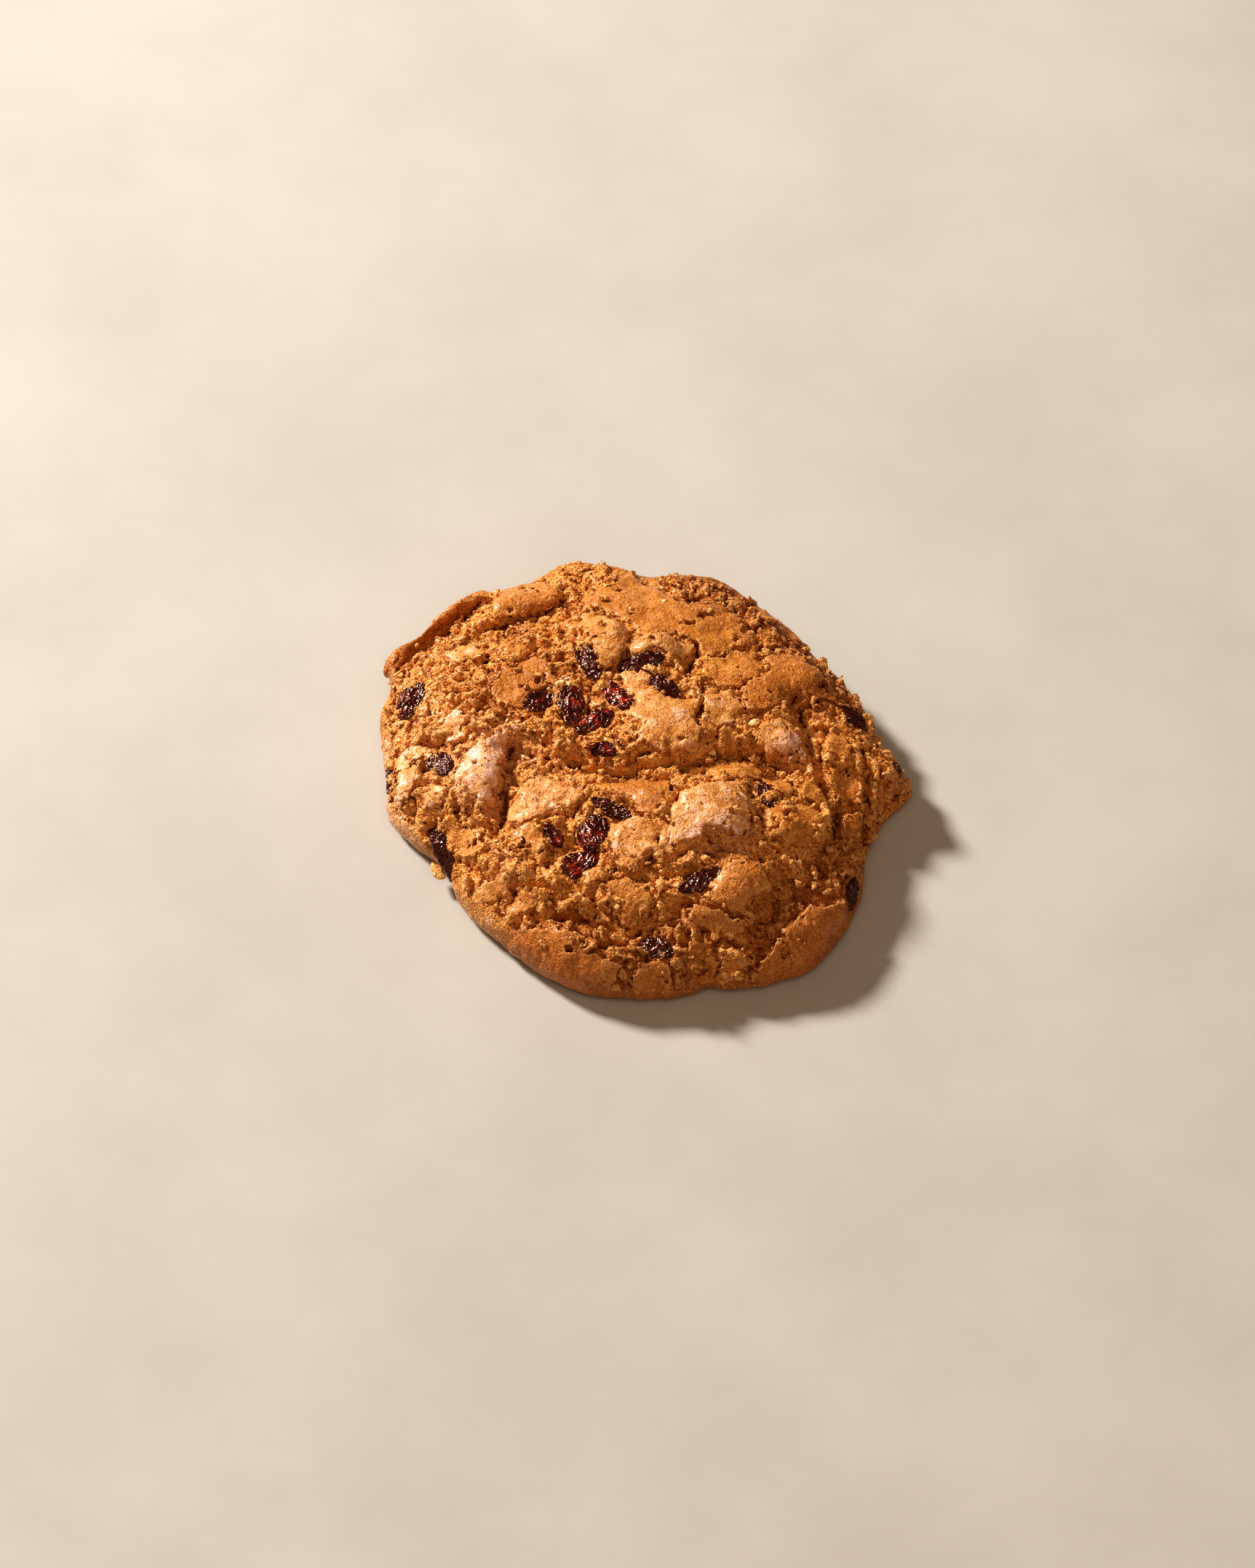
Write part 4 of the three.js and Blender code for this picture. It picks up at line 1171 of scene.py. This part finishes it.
def baked(name, kind):
    """Baked dough: "crumb", "crust", or "body", which is skin at the rim and crumb elsewhere."""
    material, tree, shader, places = new_material(name)
    inputs = {"Vector": places, "Scale": 1 / (1.1 * MM), "Detail": 1.0}
    bend = tree.add("ShaderNodeTexNoise", inputs).outputs["Color"]
    bend = tree.stretch(bend, 0.5 * MM)
    bent = tree.add("ShaderNodeVectorMath", {0: places, 1: bend}).outputs[0]
    wide = tree.noise(places, 8, 2)
    broad = tree.noise(places, 2.6, 3, 0.6)
    small = tree.noise(places, 0.9, 3, 0.65)
    grain_shade, grain_height = speckle(tree, bent, 0.46)
    sand_shade, sand_height = speckle(tree, bent, 0.27)
    pits = dots(tree, bent, 0.85, 0.75, 0.68)
    pores = dots(tree, bent, 0.6, 0.7, 0.62)
    ridge, rise, tone = (attribute(tree, name) for name in ("ridge", "rise", "tone"))

    # Crust: golden to brown in patches, paler on the plates of a pale tone, with a painted pink
    # sheen on the palest
    patch = tree.math("MULTIPLY_ADD", small, 0.8, tree.math("MULTIPLY", broad, 1.1))
    patch = tree.math("MULTIPLY_ADD", tone, 0.25, patch)
    patch = tree.math("MULTIPLY_ADD", wide, 0.5, patch)
    mottle = tree.math("MULTIPLY_ADD", small, 0.9, tree.math("MULTIPLY_ADD", broad, 2.0, -1.45))
    pale = tree.math("ADD", mottle, tone)
    crust = tree.tinted(
        CRUST_BROWN,
        (patch, 0.85, 1.6, 1, CRUST_GOLD),
        (pale, 0.1, 1.0, 0.85, CRUST_PALE),
        (pale, 0.6, 1.1, 0.95, PAINTED_PINK_SHEEN),
        (tone, 0.0, -0.9, 0.6, CRUST_BROWN),
        (sand_shade, 0.6, 1.0, 0.4, CRUST_SPECK),
        (sand_shade, 0.4, 0.0, 0.4, CRUMB_DEEP),
    )
    # Painted shade in the pits, which the bumps also sink: the deep crumb colour
    crust = tree.blend(tree.math("MULTIPLY", pits, 0.8), crust, CRUMB_DEEP)

    # Crumb: orange, mottled deeper and redder, with painted shade in its pores
    grain = tree.math("MULTIPLY_ADD", small, 0.7, tree.math("MULTIPLY", grain_shade, 0.35))
    crumb = tree.tinted(
        CRUMB_DEEP,
        (grain, 0.3, 0.75, 1, CRUMB_LIGHT),
        (wide, 0.45, 0.7, 0.3, CRUST_BROWN),
        (sand_shade, 0.65, 1.0, 0.5, CRUST_SPECK),
        (broad, 0.52, 0.7, 0.5, CRUST_PALE),
        (tone, 0.2, 1.0, 0.35, CRUST_PALE),
    )
    crumb = tree.blend(tree.math("MULTIPLY", pores, 0.75), crumb, PAINTED_GAP_SHADE)
    # Browner crumb where the tone is dark, which in the dark patch at the back right is painted
    # shade
    crumb = tree.tinted(crumb, (tone, 0.1, -0.9, 0.85, CRUMB_BROWN))

    if kind == "body":
        base = tree.blend(tree.scaled(attribute(tree, "skin"), -1.0, 0.6, 0, 1), crumb, crust)
    else:
        base = crust if kind == "crust" else crumb
    # Painted shade in hollows and crevices, by how far a place lies below its surroundings near and
    # wide, and a painted highlight on ridges
    base = tree.tinted(
        base,
        (ridge, -0.08, -0.4, 0.93, PAINTED_GAP_SHADE),
        (rise, -0.3, -1.3, 0.55, PAINTED_GAP_SHADE),
        (ridge, 0.04, 0.35, 0.45, PAINTED_RIDGE_HIGHLIGHT),
    )
    tree.fill(shader, {
        "Base Color": base, "Roughness": tree.scaled(sand_shade, 0.0, 1.0, 0.28, 0.6),
        "Specular IOR Level": 0.5, "Specular Tint": (1, 0.7, 0.45, 1), "Coat Weight": 0.2,
        "Coat Roughness": 0.24, "Subsurface Weight": 0.1, "Subsurface Radius": (1.0, 0.4, 0.15),
        "Subsurface Scale": 0.8 * MM,
    })
    hollows = tree.math("SUBTRACT", 1.0, pits if kind == "crust" else pores)
    if kind == "crust":
        bumps = [(broad, 0.45), (small, 0.3), (hollows, 0.3), (sand_height, 0.09)]
    else:
        bumps = [(small, 0.7), (hollows, 0.4), (grain_height, 0.3), (sand_height, 0.1)]
    add_bump(tree, shader, bumps)
    return material


def raisin_finish():
    """Raisin skin: near black, dark red where it is thin, glossy in patches."""
    material, tree, shader, places = new_material("raisin_skin")
    patch = tree.noise(places, 2.2, 3, 0.6, 0.4)
    fine = tree.noise(places, 0.5, 2, 0.6)
    red = tree.math("MULTIPLY", tree.scaled(patch, 0.45, 0.7, 0, 1), attribute(tree, "amber"))
    base = tree.tinted(RAISIN_BLACK, (fine, 0.35, 0.65, 1, RAISIN_BROWN))
    tree.fill(shader, {
        "Base Color": tree.blend(red, base, RAISIN_RED),
        "Roughness": tree.scaled(patch, 0.35, 0.65, 0.1, 0.32), "Specular IOR Level": 0.55,
        "Specular Tint": (1, 0.78, 0.62, 1), "Subsurface Weight": 0.2,
        "Subsurface Radius": (1.0, 0.1, 0.03), "Subsurface Scale": 1.0 * MM,
    })
    add_bump(tree, shader, [(fine, 0.12)])
    return material


def pale_finish():
    """The cream of small bits of sugar and nut."""
    material, tree, shader, places = new_material("pale_bits")
    small = tree.noise(places, 0.6, 2)
    tree.fill(shader, {
        "Base Color": tree.tinted(CREAM_DEEP, (small, 0.35, 0.65, 1, CREAM_LIGHT)),
        "Roughness": 0.35, "Subsurface Weight": 0.2, "Subsurface Radius": (1.0, 0.6, 0.3),
        "Subsurface Scale": 0.6 * MM,
    })
    add_bump(tree, shader, [(small, 0.25)])
    return material


# ---------------------------------------------------------------- raisins and loose crumbs


def geometry_tree(name, sockets):
    """A new geometry tree with the given named inputs, and its builder."""
    tree = bpy.data.node_groups.new(name, "GeometryNodeTree")
    tree.interface.new_socket("Geometry", in_out="INPUT", socket_type="NodeSocketGeometry")
    for label, kind, default in sockets:
        socket = tree.interface.new_socket(label, in_out="INPUT", socket_type="NodeSocket" + kind)
        if default is not None:
            socket.default_value = default
    tree.interface.new_socket("Geometry", in_out="OUTPUT", socket_type="NodeSocketGeometry")
    build = Tree(tree)
    build.inputs = build.add("NodeGroupInput").outputs
    return tree, build


def run_geometry(obj, tree, **values):
    """Runs a geometry tree on an object, with values for its named inputs, and keeps the mesh."""
    modifier = obj.modifiers.new(tree.name, "NODES")
    modifier.node_group = tree
    for item in tree.interface.items_tree:
        if item.in_out == "INPUT" and item.name in values:
            modifier[item.identifier] = values[item.name]
    finished(obj)


def end_tree(build, geometry):
    """Gives a tree's result the finish it was handed."""
    inputs = {"Geometry": geometry, "Material": build.inputs["Finish"]}
    finished_geometry = build.add("GeometryNodeSetMaterial", inputs).outputs[0]
    build.add("NodeGroupOutput", {"Geometry": finished_geometry})


def wrinkle_tree():
    """Furrows a raisin along its length, with sharp valleys between rounded folds."""
    tree, build = geometry_tree("raisin_wrinkles", [
        ("Fold width", "Float", 1.0 * MM), ("Fold length", "Float", 2.8 * MM),
        ("Fold depth", "Float", 0.55 * MM), ("Turn", "Vector", None), ("Seed", "Float", 0.0),
        ("Amber", "Float", 0.2), ("Finish", "Material", None),
    ])
    given = build.inputs
    smooth = build.add("GeometryNodeSubdivisionSurface", {"Mesh": given["Geometry"], "Level": 3})
    place = build.add("GeometryNodeInputPosition").outputs[0]
    along = build.add(
        "ShaderNodeVectorRotate", {"Vector": place, "Rotation": given["Turn"]},
        rotation_type="EULER_XYZ",
    ).outputs[0]
    apart = build.add("ShaderNodeSeparateXYZ", {0: along}).outputs
    stretched = build.add("ShaderNodeCombineXYZ", {
        0: build.math("DIVIDE", apart[0], given["Fold length"]),
        1: build.math("DIVIDE", apart[1], given["Fold width"]),
        2: build.math("DIVIDE", apart[2], given["Fold width"]),
    }).outputs[0]
    height = None
    for scale, share in ((1.0, 1.0), (2.3, 0.35)):
        noise = build.add("ShaderNodeTexNoise", {
            "Vector": stretched, "W": given["Seed"], "Scale": scale, "Detail": 1.0,
            "Distortion": 1.2,
        }, noise_dimensions="4D").outputs[0]
        fold = build.math("ABSOLUTE", build.math("MULTIPLY_ADD", noise, 2.0, -1.0))
        fold = build.math("MINIMUM", build.math("MULTIPLY", fold, 2.4), 1.0)
        fold = build.math("MULTIPLY", build.math("POWER", fold, 0.6), share)
        height = fold if height is None else build.math("ADD", height, fold)
    rise = build.math("MULTIPLY", build.math("SUBTRACT", height, 0.85), given["Fold depth"])
    normal = build.add("GeometryNodeInputNormal").outputs[0]
    folded = build.add("GeometryNodeSetPosition", {
        "Geometry": smooth.outputs[0], "Offset": build.stretch(normal, rise)
    }).outputs[0]
    stored = build.add("GeometryNodeStoreNamedAttribute", {
        "Geometry": folded, "Name": "amber", "Value": given["Amber"]
    }, data_type="FLOAT", domain="POINT").outputs[0]
    real = build.add("GeometryNodeRealizeInstances", {"Geometry": stored}).outputs[0]
    end_tree(build, real)
    return tree


# How much of a raisin's flesh shows red
AMBER = {
    "raisin_08": 0.5, "raisin_09": 0.9, "raisin_10": 1.0, "raisin_11": 1.0, "raisin_12": 1.0,
    "raisin_14": 0.6, "raisin_15": 0.6, "raisin_16": 0.9, "raisin_01": 0.35,
}
PRESSED = 0.25  # how far a raisin may stand out of the dough


def make_raisin(raisin, lattice, level, tree, finish):
    """A wrinkled raisin, pressed into the dough until it is nearly flush."""
    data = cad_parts[raisin.name].data
    mesh = bmesh.new()
    mesh.from_mesh(data)
    bmesh.ops.remove_doubles(mesh, verts=mesh.verts, dist=0.01 * MM)
    places = np.array([vertex.co for vertex in mesh.verts], np.float32) / MM
    places = raisin.centre + (places - raisin.centre) * np.float32(raisin.grown)
    steps = 0.4 * np.eye(3, dtype=np.float32)
    for _ in range(3):
        out = lattice.sample(level, places)
        slope = np.stack([
            lattice.sample(level, places + step) - lattice.sample(level, places - step)
            for step in steps
        ], 1)
        slope /= np.linalg.norm(slope, axis=1)[:, None] + 1e-6
        places -= slope * (np.clip(out - PRESSED, 0, None) * 0.6)[:, None]
    for vertex, place in zip(mesh.verts, places):
        vertex.co = place.tolist()
        vertex.co *= MM
    shape = bpy.data.meshes.new(raisin.name + "_flesh")
    mesh.to_mesh(shape)
    mesh.free()
    obj = new_object(raisin.name + "_flesh", shape)
    long = Vector(raisin.axes[0].tolist())
    turn = long.rotation_difference(Vector((1, 0, 0))).to_euler()
    run_geometry(
        obj, tree, Turn=tuple(turn), Seed=float(RAISIN_NODES.index(raisin.name) * 7.3),
        Amber=AMBER.get(raisin.name, 0.15), Finish=finish,
        **{"Fold width": 1.3 * MM, "Fold length": 2.4 * MM, "Fold depth": 0.62 * MM},
    )
    thin_out(obj, RAISIN_TRIANGLES)
    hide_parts(raisin.name)
    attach(obj, "root")
    return obj


def grain_tree():
    """Scatters small angular grains over the part of a surface that shows."""
    tree, build = geometry_tree("crumb_grains", [
        ("Density", "Float", 1.0), ("Smallest", "Float", 0.2 * MM), ("Largest", "Float", 0.4 * MM),
        ("Roughness", "Float", 0.2 * MM), ("Seed", "Int", 0), ("Finish", "Material", None),
    ])
    given = build.inputs
    exposed = build.add(
        "GeometryNodeInputNamedAttribute", {"Name": "exposed"}, data_type="FLOAT"
    ).outputs[0]
    place = build.add("GeometryNodeInputPosition").outputs[0]
    patch = build.add("ShaderNodeTexNoise", {"Vector": place, "Scale": 1 / (3 * MM)}).outputs[0]
    share = build.math("MULTIPLY", exposed, build.scaled(patch, 0.4, 0.6, 0.25, 1.0))
    scatter = build.add("GeometryNodeDistributePointsOnFaces", {
        "Mesh": given["Geometry"], "Density": build.math("MULTIPLY", share, given["Density"]),
        "Seed": given["Seed"],
    })
    turn, shape = (
        build.add(
            "FunctionNodeRandomValue", {0: least, 1: most, "Seed": given["Seed"]},
            data_type="FLOAT_VECTOR",
        ).outputs[0]
        for least, most in (((0.0,) * 3, (2 * math.pi,) * 3), ((0.75, 0.75, 0.6), (1.3, 1.2, 1.0)))
    )
    size = build.add("FunctionNodeRandomValue", {
        2: given["Smallest"], 3: given["Largest"], "Seed": given["Seed"]
    }, data_type="FLOAT").outputs[1]
    scale = build.stretch(shape, size)
    grain = build.add("GeometryNodeMeshIcoSphere", {"Radius": 1.0, "Subdivisions": 1}).outputs[0]
    grains = build.add("GeometryNodeInstanceOnPoints", {
        "Points": scatter.outputs["Points"], "Instance": grain, "Rotation": turn, "Scale": scale
    }).outputs[0]
    real = build.add("GeometryNodeRealizeInstances", {"Geometry": grains}).outputs[0]
    bend = build.add("ShaderNodeTexNoise", {"Vector": place, "Scale": 1 / (0.4 * MM)})
    bend = build.add("ShaderNodeVectorMath", {0: bend.outputs["Color"], 1: (-0.5,) * 3}).outputs[0]
    bend = build.stretch(bend, given["Roughness"])
    bent = build.add("GeometryNodeSetPosition", {"Geometry": real, "Offset": bend}).outputs[0]
    end_tree(build, bent)
    return tree


# Small separate bits on the top: middle x and y, length, width, height and bearing
PALE_BITS = [
    (-17.2, 13.2, 2.2, 1.3, 1.2, 20), (-15.2, 12.4, 1.8, 1.2, 1.1, -30),
    (-13.6, 13.8, 1.1, 0.8, 0.8, 50), (13, -3.3, 1.5, 1.2, 1.2, 10), (3.5, 35.5, 1.1, 0.8, 0.7, 0),
    (12.5, 33, 1.3, 0.9, 0.7, 40), (21.2, 3.6, 2.6, 1.6, 0.9, 35), (-19.4, 12.2, 1.0, 0.8, 0.8, 0),
]
RAISIN_BITS = [
    (1, -30.5, 2.2, 1.2, 1.0, 20), (-11, -3.7, 2.6, 1.3, 1.0, 5), (-8.5, -28.5, 1.2, 0.9, 0.8, 40),
    (-14, -33.6, 2.4, 1.4, 1.1, 30), (-5.4, -2.6, 1.6, 1.1, 0.9, -20),
    (31.4, 33.4, 1.6, 1.2, 1.1, 0), (-15.8, 3.4, 1.6, 1.0, 0.9, -40),
    (-24.4, -25, 1.8, 0.9, 0.8, 100),
]
FLAKES = [
    (-41.8, -21.9, 3.2, 1.8, 1.2, 120), (-41.2, -23.6, 2.6, 1.7, 1.1, 150),
    (22.4, 4.6, 2.4, 1.6, 0.7, 20),
]
LEAST_TOP = 3.4  # how high a bit lies where there is no dough under its middle


def make_bits(name, spots, sunk, finish):
    """Small lumps lying on the top, each sunk into it by a share of its height."""
    ball = bmesh.new()
    bmesh.ops.create_icosphere(ball, subdivisions=3, radius=1)
    corners = np.array([vertex.co for vertex in ball.verts], np.float32)
    faces = np.array([[vertex.index for vertex in face.verts] for face in ball.faces], np.int32)
    ball.free()
    heights = np.arange(0, 26, 0.1)
    points = []
    for n, (x, y, long, broad, high, bearing) in enumerate(spots):
        column = np.stack([np.full_like(heights, x), np.full_like(heights, y), heights], 1)
        inside = lattice.sample(whole, column.astype(np.float32)) < 0
        top = heights[inside].max() if inside.any() else LEAST_TOP
        turn = math.radians(bearing)
        rough = waves(corners + 20 * n, (0.28, 0.9, 81), (0.14, 0.4, 82), start=1)
        lump = corners * rough[:, None] * (long / 2, broad / 2, high / 2)
        u, v = lump[:, 0].copy(), lump[:, 1].copy()
        lump[:, 0] = x + u * math.cos(turn) - v * math.sin(turn)
        lump[:, 1] = y + u * math.sin(turn) + v * math.cos(turn)
        lump[:, 2] += top + (0.5 - sunk) * high
        points.append(lump)
    triangles = np.concatenate([faces + n * len(corners) for n in range(len(spots))])
    obj = mesh_object(name, np.concatenate(points), triangles, np.zeros((0, 4), np.int32))
    put_attribute(obj, "amber", np.ones(len(obj.data.vertices)))
    shade_attributes(obj, lattice, near, wide)
    obj.data.materials.append(finish)
    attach(obj, "root")


def exposed_area(obj):
    """Area in square metres of the faces that show."""
    area = read(obj.data.polygons, "area", 1)
    first = read(obj.data.polygons, "loop_start", 1, np.int32)
    corners = read(obj.data.loops, "vertex_index", 1, np.int32)
    shown = read(obj.data.attributes["exposed"].data, "value", 1)
    return float((area[:, 0] * shown[corners[first[:, 0], 0], 0]).sum())


# Loose grains on the crumb and the crust: name, how many, and their least and most radius
SCATTERED = {"crumb": ("grains", 7500, 0.13, 0.33), "crust": ("flecks", 2700, 0.1, 0.26)}


def scatter_grains(source, name, count, smallest, largest, seed, tree, finish):
    """About `count` grains on a piece, with radii in millimetres."""
    obj = new_object(name, source.data.copy())
    run_geometry(
        obj, tree, Density=count / exposed_area(source), Smallest=smallest * MM,
        Largest=largest * MM, Roughness=0.7 * smallest * MM, Seed=seed, Finish=finish,
    )
    shade_attributes(obj, lattice, near, wide)
    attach(obj, "root")


finishes = {
    "dough": baked("dough_skin", "body"), "crumb": baked("open_crumb", "crumb"),
    "crust": baked("browned_crust", "crust"),
}
grains = grain_tree()
for name, piece in pieces.items():
    piece.data.materials.append(finishes[name.split("_")[0]])
for seed, name in enumerate(pieces):
    kind, _, side = name.partition("_")
    if kind in SCATTERED:
        label, *sizes = SCATTERED[kind]
        scatter_grains(pieces[name], label + "_" + side, *sizes, seed, grains, finishes[kind])
skin = raisin_finish()
wrinkles = wrinkle_tree()
make_bits("pale_bits", PALE_BITS, 0.35, pale_finish())
make_bits("raisin_bits", RAISIN_BITS, 0.2, skin)
make_bits("dough_flakes", FLAKES, 0.5, finishes["crumb"])
for raisin in RAISINS:
    make_raisin(raisin, lattice, level, wrinkles, skin)

# ---------------------------------------------------------------- floor, light and camera

VIEW_ELEVATION = math.radians(51.5)
LENS = 300
SENSOR = 36
VIEW_HEIGHT = 0.3125  # metres that the view takes in, from its bottom to its top
VIEW_TARGET = Vector((-0.00383, 0.00222, 0))


def add_camera():
    """A long lens that looks down on the cookie from its front."""
    camera = bpy.data.cameras.new("camera")
    camera.sensor_fit = "VERTICAL"
    camera.sensor_height = SENSOR
    camera.lens = LENS
    camera.clip_end = 20
    holder = new_object("camera", camera)
    distance = VIEW_HEIGHT * LENS / SENSOR
    back = Vector((0, -math.cos(VIEW_ELEVATION), math.sin(VIEW_ELEVATION)))
    holder.location = VIEW_TARGET + distance * back
    holder.rotation_euler = (math.pi / 2 - VIEW_ELEVATION, 0, 0)
    bpy.context.scene.camera = holder


def add_light(name, bearing, elevation, distance, size, power, colour):
    """A round soft light aimed at the cookie, its distance and size in metres."""
    light = bpy.data.lights.new(name, "AREA")
    light.shape = "DISK"
    light.size = size
    light.energy = power
    light.color = colour
    holder = new_object(name, light)
    bearing = math.radians(bearing)
    elevation = math.radians(elevation)
    towards = Vector((
        math.cos(bearing) * math.cos(elevation),
        math.sin(bearing) * math.cos(elevation),
        math.sin(elevation),
    ))
    holder.location = distance * towards
    holder.rotation_euler = towards.to_track_quat("Z", "Y").to_euler()


def add_world(colour, strength):
    world = bpy.data.worlds.new("studio")
    world.use_nodes = True
    sky = world.node_tree.nodes["Background"]
    sky.inputs["Color"].default_value = (*colour, 1)
    sky.inputs["Strength"].default_value = strength
    bpy.context.scene.world = world


def add_floor():
    """A plain pale floor under the cookie."""
    bpy.ops.mesh.primitive_plane_add(size=6)
    floor = bpy.context.object
    floor.name = "floor"
    material, tree, shader, places = new_material("pale_stone")
    shade = tree.noise(places, 60, 4, 0.6)
    colour = tree.tinted(STONE_DARK, (shade, 0.3, 0.7, 1, STONE_LIGHT))
    tree.fill(shader, {"Base Color": colour, "Roughness": 0.7})
    floor.data.materials.append(material)


add_camera()
add_light("key", 142, 35, 1.6, 0.28, 40, (1, 0.98, 0.95))
add_light("fill", -75, 55, 1.8, 1.6, 9, (1, 0.78, 0.6))
add_world((1, 0.75, 0.54), 0.12)
add_floor()
bpy.context.scene.view_settings.view_transform = "Standard"
bpy.context.scene.view_settings.look = "Medium High Contrast"
